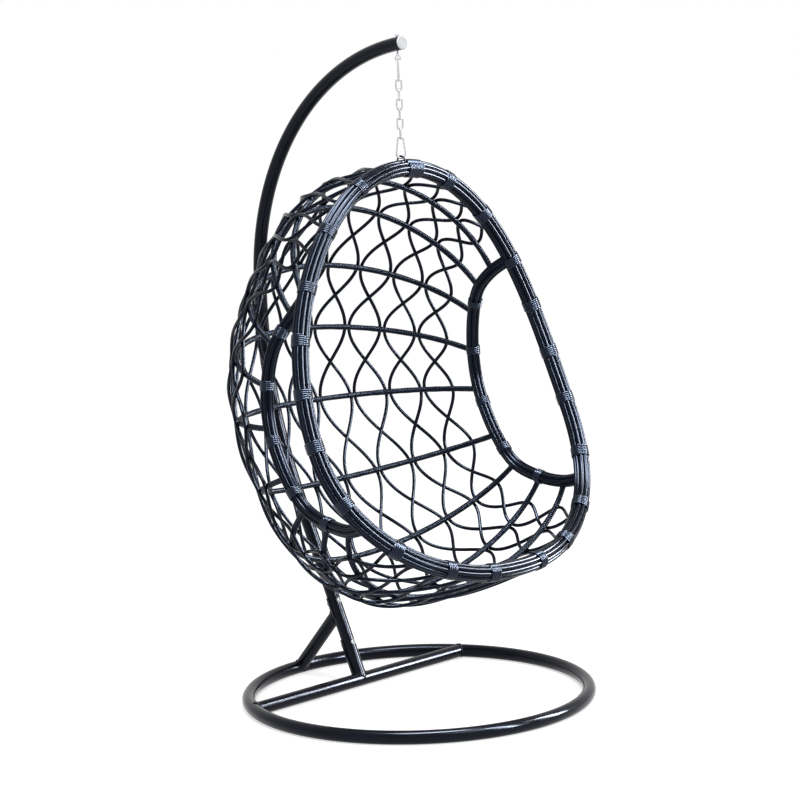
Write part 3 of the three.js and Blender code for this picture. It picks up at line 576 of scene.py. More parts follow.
@dataclass
class Skin:
    """Gathers grids of points into one mesh object."""

    points: list[Array] = field(default_factory=list)
    tints: list[Array] = field(default_factory=list)
    faces: list[Array] = field(default_factory=list)
    uvs: list[Array] = field(default_factory=list)
    caps: list[list[int]] = field(default_factory=list)
    cap_uvs: list[Array] = field(default_factory=list)
    cap_uv_radius: float = 4 * MM
    sharp_angle: float = math.radians(38)
    count: int = 0

    def add_grid(self, grid: Array, closed_rows: bool = False, tint: float = 0.5) -> None:
        """Add a tube of quads: the last column of a grid of points joins the first.

        Args:
            grid: (rows, columns, 3) points; rows run along the piece.
            closed_rows: whether the last row joins the first, or the ends get a face each.
            tint: shade of this stretch, 0 to 1, for the material.
        """
        rows, columns, _ = grid.shape
        numbers = self.count + np.arange(rows * columns).reshape(rows, columns)
        ends = numbers[0, ::-1], numbers[-1]
        numbers = np.column_stack([numbers, numbers[:, 0]])
        if closed_rows:
            numbers = np.concatenate([numbers, numbers[:1]])
        self._add_quads(numbers, grid)
        self._add_points(grid.reshape(-1, 3), tint)
        if not closed_rows:
            for ring in ends:
                self._add_cap(ring)

    def add_helix(self, grid: Array, around: int, tint: float) -> None:
        """Add a closed rod from a strip in a helix: its far edge is its near edge a turn on.

        Args:
            grid: (rows, columns, 3) points; rows run along the strip.
            around: how many rows make one turn.
            tint: shade of the rod.
        """
        rows, columns, _ = grid.shape
        whole = rows - around
        numbers = self.count + np.arange(whole * columns).reshape(whole, columns)
        near = np.append(numbers[:, 0], self.count + whole * columns + np.arange(around))
        numbers = np.column_stack([numbers, near[around:]])
        self._add_quads(numbers[:, ::-1], grid)
        self._add_points(np.concatenate([grid[:whole].reshape(-1, 3), grid[whole:, 0]]), tint)
        self._add_cap([*numbers[0], *near[around - 1:0:-1]])
        self._add_cap([*numbers[-1], *near[-2:-around - 1:-1]][::-1])

    def add_tube(self, path: Array, section: Array, reference: Array, closed: bool = False,
                 scale: Array | float = 1.0, tint: float = 0.5) -> None:
        """Sweep a section along a path: its points ride on two axes square to the path.

        Args:
            path: (n, 3) points.
            section: (sides, 2) points of the section.
            reference: where the section's first axis points, one or one per point.
            closed: whether the path closes on itself.
            scale: scale of the section, one or one per point.
            tint: shade of this stretch.
        """
        first, second = square_to(tangents(path, closed), reference)
        offsets = (section[None, :, :1] * first[:, None, :]
                   + section[None, :, 1:] * second[:, None, :])
        size = np.broadcast_to(scale, len(path))[:, None, None]
        self.add_grid(path[:, None, :] + offsets * size, closed, tint)

    def add_turned(self, profile: Sequence[Span], origin: Array, axis: Array,
                   sides: int = 32, closed: bool = False) -> None:
        """Turn (radius, height) pairs around an axis; a closed profile makes a ring."""
        radii, heights = np.array(profile).T[:, :, None, None]
        self.add_grid(origin + heights * axis + radii * wheel(axis, sides), closed)

    def add_nut(self, seat: Array, axis: Array, width: float, height: float,
                bore: float) -> None:
        """Add a hexagon nut, whose corners are cut to a circle at both faces.

        The hexagon's radius is half the width over the cosine of the angle from the
        middle of the nearest flat.

        Args:
            seat: middle of its lower face.
            axis: unit direction from its lower to its upper face.
            width: across its flats.
            height: its height.
            bore: radius of its hole.
        """
        sides = 48
        chamfer = 0.12 * height
        wedge = np.mod(even_turns(sides), math.pi / 3) - math.pi / 6
        hexagon = width / 2 / np.cos(wedge)
        circle, hole = np.full(sides, width / 2), np.full(sides, bore)
        radii = np.stack([hole, circle, hexagon, hexagon, circle, hole])[:, :, None]
        levels = np.array([0.0, 0.0, chamfer, height - chamfer, height, height])
        grid = seat + levels[:, None, None] * axis + radii * wheel(axis, sides)
        self.add_grid(grid, closed_rows=True)

    def _add_cap(self, ring: Sequence[int]) -> None:
        """Close an end with one face, whose ring is anticlockwise from outside."""
        self.caps.append([int(number) for number in ring])
        self.cap_uvs.append(oval(self.cap_uv_radius, len(ring)))

    def _add_quads(self, numbers: Array, grid: Array) -> None:
        """Join neighbours into quads, with UVs that count metres across and along the grid.

        Args:
            numbers: (rows, columns) numbers of the points, with repeats where edges meet.
            grid: the points before such repeats.
        """
        along = arc_lengths(grid.mean(axis=1))
        along = np.append(along, along[-1] + along[1])[:len(numbers)]
        across = np.linalg.norm(grid[0, 1] - grid[0, 0]) * np.arange(numbers.shape[1])
        places = np.stack(np.meshgrid(across, along), axis=-1)
        for table, kept, width in ((numbers, self.faces, 4), (places, self.uvs, 2)):
            corners = (table[:-1, :-1], table[:-1, 1:], table[1:, 1:], table[1:, :-1])
            kept.append(np.stack(corners, axis=2).reshape(-1, width))

    def _add_points(self, points: Array, tint: float) -> None:
        """Keep points.

        Args:
            points: (n, 3) points.
            tint: shade of all of them.
        """
        self.points.append(points)
        self.tints.append(np.full(len(points), tint))
        self.count += len(points)

    def build(self, name: str, finish: Finish, body: str, *nodes: str) -> None:
        """Make the mesh object, give it its finish and body, and hide what it stands for.

        Args:
            name: the piece's name.
            finish: its finish.
            body: the body that it rides on.
            nodes: the frame's nodes that it replaces.
        """
        mesh = bpy.data.meshes.new(name)
        quads = np.concatenate(self.faces).tolist()
        mesh.from_pydata(np.concatenate(self.points).tolist(), [], quads + self.caps)
        uvs = np.concatenate(self.uvs + self.cap_uvs).astype(np.float32)
        mesh.uv_layers.new(name="strand").data.foreach_set("uv", uvs.ravel())
        tint = mesh.attributes.new("tint", "FLOAT", "POINT")
        tint.data.foreach_set("value", np.concatenate(self.tints).astype(np.float32))
        mesh.shade_smooth()
        mesh.set_sharp_from_angle(angle=self.sharp_angle)
        mesh.materials.append(material(finish))
        piece = show(name, mesh)
        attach(piece, body)
        if nodes:
            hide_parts(*nodes)
        log.info("%-22s %7d faces, rides on %s", name, len(mesh.polygons), body)


def thread(radius: float, start: float, end: float, pitch: float) -> list[Span]:
    """Profile of a screw thread: crests and roots in turn, and a pointed end.

    Args:
        radius: outer radius.
        start: height at which the thread starts.
        end: height of the bolt's end.
        pitch: distance between its crests.

    Returns:
        (radius, height) pairs.
    """
    root, bevel, point = 0.88, 0.8, 0.1
    heights = np.linspace(start, end - pitch, int((end - start) / pitch * 2))
    pairs = [(radius * (root if index % 2 else 1.0), float(height))
             for index, height in enumerate(heights)]
    return pairs + [(radius * bevel, end), (radius * point, end)]


# ---- Stand ----


@dataclass(frozen=True)
class Clamp:
    """A half shell behind the pole with its bolt.

    Its start, end and bolt are places up the pole, from the middle of the cross bar along
    the leaning stretch.
    """

    name: str
    start: float
    end: float
    bolt: float


@dataclass
class Stand:
    """The floor ring, cross bar, pole, strut, half shells, bolts and plug."""

    body: str = "stand"
    sides: int = 40
    tube_wall: float = 2 * MM
    ring_radius: float = 481 * MM
    cross_bar_behind_centre: float = 230 * MM
    lean: float = math.radians(24)
    leaning_length: float = 580 * MM
    lower_bend_radius: float = 1400 * MM
    upright_length: float = 40 * MM
    upper_bend_radius: float = 686 * MM
    upper_bend: float = math.radians(83)
    eye_behind_tip: float = 16 * MM
    brace_top_up_pole: float = 205 * MM
    saddle_wall: float = 3 * MM
    saddle_edge: float = 0.6 * MM
    clamps: tuple[Clamp, ...] = (
        Clamp("foot", 0.0, 124 * MM, 108 * MM), Clamp("brace", 190 * MM, 252 * MM, 236 * MM))
    bolt_radius: float = 4 * MM
    bolt_head_radius: float = 8 * MM
    bolt_head_height: float = 4 * MM
    bolt_head_rim: float = 0.4 * MM
    bolt_pitch: float = 1.25 * MM
    bolt_end_past_nut: float = 3 * MM
    nut_width: float = 13 * MM
    nut_height: float = 6.5 * MM
    plug_depths: Span = (9 * MM, 8 * MM)
    plug_edge: float = 1.4 * MM
    plug_edge_start: float = 2.2 * MM
    # The plug's moulded face, as shares of the tube's radius with heights.
    plug_face: tuple[Span, ...] = (
        (0.72, 4.1 * MM), (0.7, 3.7 * MM), (0.66, 3.6 * MM), (0.3, 3.8 * MM), (0.05, 3.85 * MM))
    weld_radius: float = 2.6 * MM
    weld_out: float = 0.2 * MM
    # Points along the ring, the bar, the strut and the pole's stretches, and over a half shell.
    ring_rows: int = 240
    bar_rows: int = 60
    strut_rows: int = 30
    pole_rows: tuple[int, int, int] = (24, 32, 140)
    saddle_points: int = 28

    def __post_init__(self) -> None:
        """Work out the stand's places from the ring in the frame."""
        low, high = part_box("base_ring")
        self.centre = (low.y + high.y) / 2 * BACK
        self.foot = self.centre + self.cross_bar_behind_centre * BACK + TUBE_RADIUS * UP
        self.leaning = math.sin(self.lean) * BACK + math.cos(self.lean) * UP
        self.behind = math.cos(self.lean) * BACK - math.sin(self.lean) * UP
        self.pole = self._pole_path()
        tip_steps = 7
        self.tip = self.pole[-1]
        self.tip_direction = unit(self.tip - self.pole[-1 - tip_steps])
        self.hang = self.tip - self.eye_behind_tip * self.tip_direction

    def _pole_path(self) -> Array:
        """The pole's centre line: a leaning stretch, a bend, an upright one and a bend.

        Returns:
            (n, 3) points.
        """
        straight_rows, lower_rows, upper_rows = self.pole_rows
        straight = self.up_pole(np.linspace(0.0, self.leaning_length, straight_rows)[:, None])
        lower = self._bend(straight[-1], self.lower_bend_radius, self.lean, 0.0, lower_rows)[1:]
        top = lower[-1] + self.upright_length * UP
        upper = self._bend(top, self.upper_bend_radius, 0.0, self.upper_bend, upper_rows)
        return np.concatenate([straight, lower, upper])

    @staticmethod
    def _bend(start: Array, radius: float, first: float, last: float, count: int) -> Array:
        """An arc: the change of its angle's cosine moves it back, that of its sine lifts it.

        Args:
            start: its first point.
            radius: its radius.
            first: the pole's angle from upright at the start.
            last: that angle at the end.
            count: how many points.

        Returns:
            (count, 3) points.
        """
        angles = np.linspace(first, last, count)[:, None]
        return start + radius * ((np.cos(angles) - math.cos(first)) * BACK
                                 + np.abs(np.sin(angles) - math.sin(first)) * UP)

    def up_pole(self, distance: float | Array) -> Array:
        """Points of the leaning stretch's centre line, at distances from the foot."""
        return self.foot + distance * self.leaning

    def make(self) -> None:
        """Make every piece of the stand."""
        self._ring()
        self._cross_bar()
        self._pole()
        for clamp in self.clamps:
            self._saddle(clamp)
        self._brace()
        for clamp in self.clamps:
            self._bolt(clamp)
        self._plug()

    def _pipe(self, path: Array, reference: Array, closed: bool = False) -> Skin:
        """A new skin with a steel tube along a path.

        Args:
            path: (n, 3) centre line.
            reference: where its section's first axis points.
            closed: whether the path closes on itself.

        Returns:
            The skin.
        """
        skin = Skin()
        skin.add_tube(path, oval(TUBE_RADIUS, self.sides), reference, closed)
        return skin

    def _ring(self) -> None:
        """The floor ring: a tube on a circle that rests on the floor."""
        path = self.centre + self.ring_radius * wheel(UP, self.ring_rows) + TUBE_RADIUS * UP
        skin = self._pipe(path, UP, closed=True)
        skin.build("floor_ring", Finish.STEEL, self.body, "base_ring")

    def _cross_bar(self) -> None:
        """The bar across the ring: half a chord long on each side, with a weld at each end."""
        half = math.sqrt(self.ring_radius ** 2 - self.cross_bar_behind_centre ** 2)
        across = np.linspace(-half, half, self.bar_rows)[:, None]
        skin = self._pipe(self.foot + across * RIGHT, UP)
        reach = 3 * TUBE_RADIUS
        for side in (RIGHT, -RIGHT):
            self._weld(skin, self.foot, side, self._to_ring, half - reach, half)
        skin.build("ring_cross_bar", Finish.STEEL, self.body, "cross_bar")

    def _pole(self) -> None:
        """The bent pole, with the weld of its foot on the cross bar."""
        skin = self._pipe(self.pole, RIGHT)
        reach = 4 * TUBE_RADIUS
        self._weld(skin, self.foot, self.leaning, self._to_bar, 0.0, reach, inward=True)
        skin.build("bent_pole", Finish.STEEL, self.body, "curved_pole")

    def _brace(self) -> None:
        """The strut from the ring's rear to the upper half shell, welded at both ends."""
        start = self.centre + self.ring_radius * BACK + TUBE_RADIUS * UP
        end = self.up_pole(self.brace_top_up_pole)
        share = np.linspace(0.0, 1.0, self.strut_rows)[:, None]
        skin = self._pipe(start + share * (end - start), RIGHT)
        length = float(np.linalg.norm(end - start))
        direction = (end - start) / length
        reach = 5 * TUBE_RADIUS
        self._weld(skin, start, direction, self._to_ring, 0.0, reach, inward=True)
        self._weld(skin, start, direction, self._to_pole, length - reach, length)
        skin.build("rear_strut", Finish.STEEL, self.body, "rear_brace")

    def _to_ring(self, points: Array) -> Array:
        """How far points lie outside the ring's tube.

        That is the root of two squares, how far they lie outside the ring's circle and how
        far above it, less the tube's radius.

        Args:
            points: (n, 3) points.

        Returns:
            (n,) distances.
        """
        flat = points - self.centre - TUBE_RADIUS * UP
        across = np.linalg.norm(flat[:, :2], axis=1) - self.ring_radius
        return np.hypot(across, flat[:, 2]) - TUBE_RADIUS

    def _to_bar(self, points: Array) -> Array:
        """How far points lie outside the cross bar, by their distance from its line."""
        return np.hypot(*(points - self.foot)[:, 1:].T) - TUBE_RADIUS

    def _to_pole(self, points: Array) -> Array:
        """How far points lie outside the half shell: their distance from the pole's line.

        Args:
            points: (n, 3) points.

        Returns:
            (n,) distances, less the shell's radius.
        """
        rest = points - self.foot
        rest = rest - (rest @ self.leaning)[:, None] * self.leaning
        return np.linalg.norm(rest, axis=1) - TUBE_RADIUS - self.saddle_wall - CLEARANCE

    def _weld(self, skin: Skin, start: Array, axis: Array, clear_of: Callable[[Array], Array],
              near: float, far: float, inward: bool = False) -> None:
        """Add a rippled weld bead where a tube meets another surface.

        Each line of the tube's skin is halved again and again to find where it meets the
        surface; the bead's size ripples by two cosines of the turn.

        Args:
            skin: where it goes.
            start: a point on the tube's axis.
            axis: unit direction of the tube.
            clear_of: distance of points outside the other surface.
            near: where the search starts along the axis.
            far: where it ends.
            inward: whether the other surface lies at the near end.
        """
        count, halvings, sides = 120, 24, 10
        steep = 0.9
        spokes = wheel(axis, count, UP if abs(axis[2]) < steep else RIGHT)
        low, high = np.full(count, near), np.full(count, far)
        for _ in range(halvings):
            middle = (low + high) / 2
            outside = clear_of(start + TUBE_RADIUS * spokes + middle[:, None] * axis) > 0
            moves_low = ~outside if inward else outside
            low = np.where(moves_low, middle, low)
            high = np.where(moves_low, high, middle)
        path = start + (TUBE_RADIUS + self.weld_out) * spokes + low[:, None] * axis
        above_floor = 1.3 * self.weld_radius
        path[:, 2] = np.maximum(path[:, 2], above_floor)
        turns = even_turns(count)
        scales, waves = 40, 7
        ripple = 1.0 + 0.12 * np.cos(turns * scales) + 0.08 * np.cos(turns * waves + 1.0)
        skin.add_tube(path, oval(self.weld_radius, sides), spokes, closed=True, scale=ripple)

    def _saddle(self, clamp: Clamp) -> None:
        """A half shell behind the pole: two half circles, drawn in a little at its ends.

        Args:
            clamp: where it is.
        """
        inner = TUBE_RADIUS + CLEARANCE
        outer = inner + self.saddle_wall
        start, end, edge = clamp.start, clamp.end, self.saddle_edge
        turns = np.linspace(0.0, math.pi, self.saddle_points)[:, None]
        rows = []
        for place, inset in ((start, edge), (start + edge, 0.0), (end - edge, 0.0), (end, edge)):
            arcs = ((outer - inset, turns), (inner + inset, turns[::-1]))
            ring = [radius * spoke(angles, RIGHT, self.behind) for radius, angles in arcs]
            rows.append(self.up_pole(place) + np.concatenate(ring))
        skin = Skin()
        skin.add_grid(np.stack(rows))
        node = f"{clamp.name}_saddle"
        skin.build(f"{node}_shell", Finish.STEEL, self.body, node)

    def _bolt(self, clamp: Clamp) -> None:
        """A carriage bolt with a domed head in front of the pole, and its nut behind.

        Args:
            clamp: where it is.
        """
        name, middle = clamp.name, self.up_pole(clamp.bolt)
        head = -TUBE_RADIUS - CLEARANCE
        rim = head + self.bolt_head_rim
        seat = TUBE_RADIUS + self.saddle_wall + 2 * CLEARANCE
        end = seat + self.nut_height + self.bolt_end_past_nut
        flat_top, dome_rows = 0.12, 9
        profile = [(self.bolt_head_radius * math.sin(angle),
                    head - self.bolt_head_height * math.cos(angle))
                   for angle in np.linspace(flat_top, math.pi / 2, dome_rows)]
        profile += [(self.bolt_head_radius, rim), (self.bolt_radius, rim)]
        profile += thread(self.bolt_radius, 0.0, end, self.bolt_pitch)
        skin = Skin()
        skin.add_turned(profile, middle, self.behind)
        skin.build(f"{name}_carriage_bolt", Finish.ZINC, self.body, f"{name}_bolt")
        nut = Skin()
        nut.add_nut(middle + seat * self.behind, self.behind, self.nut_width, self.nut_height,
                    self.bolt_radius)
        nut.build(f"{name}_hex_nut", Finish.ZINC, self.body, f"{name}_nut")

    def _plug(self) -> None:
        """The plug in the pole's end: a spigot, a flange with a round edge and a face."""
        bore = TUBE_RADIUS - self.tube_wall
        chamfered, edge_rows, sides = 0.8 * bore, 7, 48
        profile = [(chamfered, -self.plug_depths[0]), (bore, -self.plug_depths[1]),
                   (bore, 0.0), (TUBE_RADIUS, CLEARANCE)]
        profile += [(TUBE_RADIUS - self.plug_edge * (1 - math.cos(angle)),
                     self.plug_edge_start + self.plug_edge * math.sin(angle))
                    for angle in np.linspace(0.0, math.pi / 2, edge_rows)]
        profile += [(share * TUBE_RADIUS, height) for share, height in self.plug_face]
        skin = Skin()
        skin.add_turned(profile, self.tip, self.tip_direction, sides)
        skin.build("pole_plug", Finish.CAP, self.body, "pole_end_cap")


# ---- Chain ----


@dataclass
class Chain:
    """The eye bolt, its nut, both snap hooks and the links.

    Attributes:
        hang: where the eye bolt passes the pole's centre line, which all heights count from.
    """

    hang: Array
    twist: float = math.radians(-42)
    sides: int = 16
    eye_radius: float = 7 * MM
    eye_wire: float = 4 * MM
    eye_below_pole: float = 15 * MM
    eye_seat: float = 4.8 * MM
    eye_shank: float = 6 * MM
    eye_pitch: float = 1 * MM
    eye_nut_width: float = 10 * MM
    eye_nut_height: float = 5 * MM
    link_count: int = 6
    link_length: float = 31.5 * MM
    bow_radius: float = 7.5 * MM
    hook_wide_radius: float = 12.5 * MM
    upper_hook_length: float = 60 * MM
    lower_hook_length: float = 58 * MM
    gate_length: float = 24 * MM
    gate_end_gap: float = 0.6 * MM
    # Places along a gate, as shares of its length, with its size there.
    gate_shape: tuple[Span, ...] = ((0.0, 0.42), (0.03, 0.5), (0.12, 0.78), (0.2, 0.96),
                                    (0.8, 0.96), (0.9, 0.96), (0.97, 0.9), (1.0, 0.7))
    rivet_from_hinge: float = 3 * MM
    # A rivet's head, as radii with heights above the wire.
    rivet_head: tuple[Span, ...] = ((1.3 * MM, 0.0), (1.2 * MM, 0.2 * MM), (0.3 * MM, 0.5 * MM))
    # Points along a link, a hook and the eye.
    link_rows: int = 96
    hook_rows: int = 150
    eye_rows: int = 72

    def __post_init__(self) -> None:
        """Work out how high each piece hangs: each top lies one wire above the last bottom."""
        self.wire = oval(WIRE / 2, self.sides)
        drop = WIRE + CLEARANCE
        self.eye_centre = -(TUBE_RADIUS + self.eye_below_pole + self.eye_radius
                            - self.eye_wire / 2)
        self.upper_top = self.eye_centre - self.eye_radius + self.eye_seat
        first = self.upper_top - self.upper_hook_length + drop
        pitch = drop - self.link_length
        self.link_tops = [first + index * pitch for index in range(self.link_count)]
        self.lower_top = first + self.link_count * pitch
        self.lower_end = self.lower_top - self.lower_hook_length

    def plane(self, quarters: int) -> tuple[Array, Array]:
        """A piece's sideways axis and normal: the chain's twist and its quarter turns."""
        sideways = spoke(self.twist + quarters * math.pi / 2, RIGHT, BACK)
        return sideways, np.cross(sideways, UP)

    def place(self, flat: Array, top: float, quarters: int) -> Array:
        """Place flat points, sideways and up from a top's height, in a piece's plane."""
        sideways, _ = self.plane(quarters)
        return self.hang + flat[:, :1] * sideways + (flat[:, 1:] + top) * UP

    def bow(self, length: float, bottom_radius: float, steps: int = 28) -> Array:
        """A bow in its own plane: an arc at each end, joined by lines that touch both.

        The arcs go past their half circles by the angle whose sine is the difference of
        the radii over the distance of the centres.

        Args:
            length: its height between the wire's centres.
            bottom_radius: radius of its lower end.
            steps: steps around each end.

        Returns:
            (n, 2) points, sideways and up, from the upper right around to the lower right.
        """
        top_radius = self.bow_radius
        spread = math.asin((bottom_radius - top_radius) / (length - top_radius - bottom_radius))
        share = np.linspace(0.0, 1.0, steps + 1)
        arcs = ((top_radius, -top_radius, spread + (math.pi - 2 * spread) * share),
                (bottom_radius, bottom_radius - length,
                 math.pi - spread + (math.pi + 2 * spread) * share))
        return np.concatenate([
            np.stack([radius * np.cos(turns), height + radius * np.sin(turns)], axis=1)
            for radius, height, turns in arcs])

    def make(self) -> None:
        """Make every piece of the chain."""
        self._eye_bolt()
        self._eye_nut()
        for index, top in enumerate(self.link_tops):
            self._link(index, top)
        self._hook("upper", self.upper_hook_length, self.upper_top, 1)
        self._hook("lower", self.lower_hook_length, self.lower_top, self.link_count % 2)

    def _link(self, index: int, top: float) -> None:
        """A link: a wire along a bow with equal ends.

        Args:
            index: its number from the top, from 0.
            top: height of its top.
        """
        path = self.place(self.bow(self.link_length, self.bow_radius), top, index % 2)
        path = resample(np.concatenate([path, path[:1]]), self.link_rows + 1)[:-1]
        skin = Skin()
        skin.add_tube(path, self.wire, self.plane(index % 2)[1], closed=True)
        body = f"chain_link_{index + 1}"
        skin.build(f"round_link_{index + 1}", Finish.ZINC, body, body)

    def _hook(self, name: str, length: float, top: float, quarters: int) -> None:
        """A snap hook: a bow that is wider below, open at its right, where the gate closes it.

        Args:
            name: upper or lower.
            length: its height between the wire's centres.
            top: height of its top.
            quarters: quarter turns of its plane.
        """
        _, normal = self.plane(quarters)
        flat = self.bow(length, self.hook_wide_radius)
        along = unit(flat[0] - flat[-1])
        hinge, nose = ((flat[0] + flat[-1]) / 2 + side * self.gate_length / 2 * along
                       for side in (-1, 1))
        gap = self.gate_end_gap * along
        wire = self.place(np.stack([nose + gap, *flat, hinge - gap]), top, quarters)
        skin = Skin()
        skin.add_tube(resample(wire, self.hook_rows), self.wire, normal)
        skin.build(f"{name}_snap_hook", Finish.ZINC, f"{name}_hook", f"{name}_hook")

        shares, sizes = np.array(self.gate_shape).T
        path = self.place(hinge + shares[:, None] * self.gate_length * along, top, quarters)
        gate = Skin()
        gate.add_tube(path, self.wire, normal, scale=sizes)
        rivet = self.place((hinge + self.rivet_from_hinge * along)[None, :], top, quarters)[0]
        head = [(radius, WIRE / 2 + height) for radius, height in self.rivet_head]
        profile = [(radius, -height) for radius, height in head[::-1]] + head
        gate.add_turned(profile, rivet, normal, self.sides)
        gate.build(f"{name}_snap_gate", Finish.ZINC, f"{name}_gate", f"{name}_hook_gate")

    def _eye_bolt(self) -> None:
        """The eye bolt: a ring of wire below a threaded shank."""
        ring = self.place(oval(self.eye_radius, self.eye_rows), self.eye_centre, 0)
        skin = Skin()
        skin.add_tube(ring, oval(self.eye_wire / 2, self.sides), self.plane(0)[1], closed=True)
        neck = self.eye_centre + self.eye_radius
        start, shoulder, first_crest = neck - 1.6 * MM, neck + 0.6 * MM, neck + 3 * MM
        narrow, wide, sides = 0.3 * self.eye_shank, self.eye_shank / 2, 24
        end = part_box("eye_bolt")[1].z - self.hang[2]
        profile = [(narrow, start), (wide, shoulder)]
        profile += thread(wide, first_crest, end, self.eye_pitch)
        skin.add_turned(profile, self.hang, UP, sides)
        skin.build("threaded_eye", Finish.ZINC, "eye", "eye_bolt")

    def _eye_nut(self) -> None:
        """The eye bolt's nut on the pole, with a thin washer below it."""
        seat = self.hang * (RIGHT + BACK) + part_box("eye_nut")[0].z * UP
        bore = 0.47 * self.eye_shank
        inside, outside = 0.52 * self.eye_shank, 0.62 * self.eye_nut_width
        below, above = -0.9 * MM, -0.05 * MM
        skin = Skin()
        skin.add_nut(seat, UP, self.eye_nut_width, self.eye_nut_height, bore)
        skin.add_turned([(inside, below), (outside, below), (outside, above), (inside, above)],
                        seat, UP, closed=True)
        skin.build("eye_hex_nut", Finish.ZINC, "eye", "eye_nut")


# ---- Basket ----


@dataclass(frozen=True)
class Rib:
    """Where a rib meets the side loops and passes the middle of the back.

    Attributes:
        wide: share of the rim's half width, at the rib's end.
        back: share of the basket's depth, at the rib's end.
        down: share of the rim's height, at the rib's end.
        middle_back: share of the depth at the middle of the rib.
        middle_down: share of the height at the middle of the rib.
    """

    wide: float
    back: float
    down: float
    middle_back: float
    middle_down: float

    def end(self, size: Array) -> Array:
        """Its right end in a basket of the given half width, depth and height."""
        return np.array([self.wide, self.back, -self.down]) * size

    def middle(self, size: Array) -> Array:
        """Its middle in a basket of the given half width, depth and height."""
        return np.array([0.0, self.middle_back, -self.middle_down]) * size


class Side(Enum):
    """A side of the basket, by the sign of its X."""

    RIGHT = 1.0
    LEFT = -1.0


class Lay(Enum):
    """How a strand starts at the rim, by the sign of its height against its partner."""

    OVER = 1.0
    UNDER = -1.0


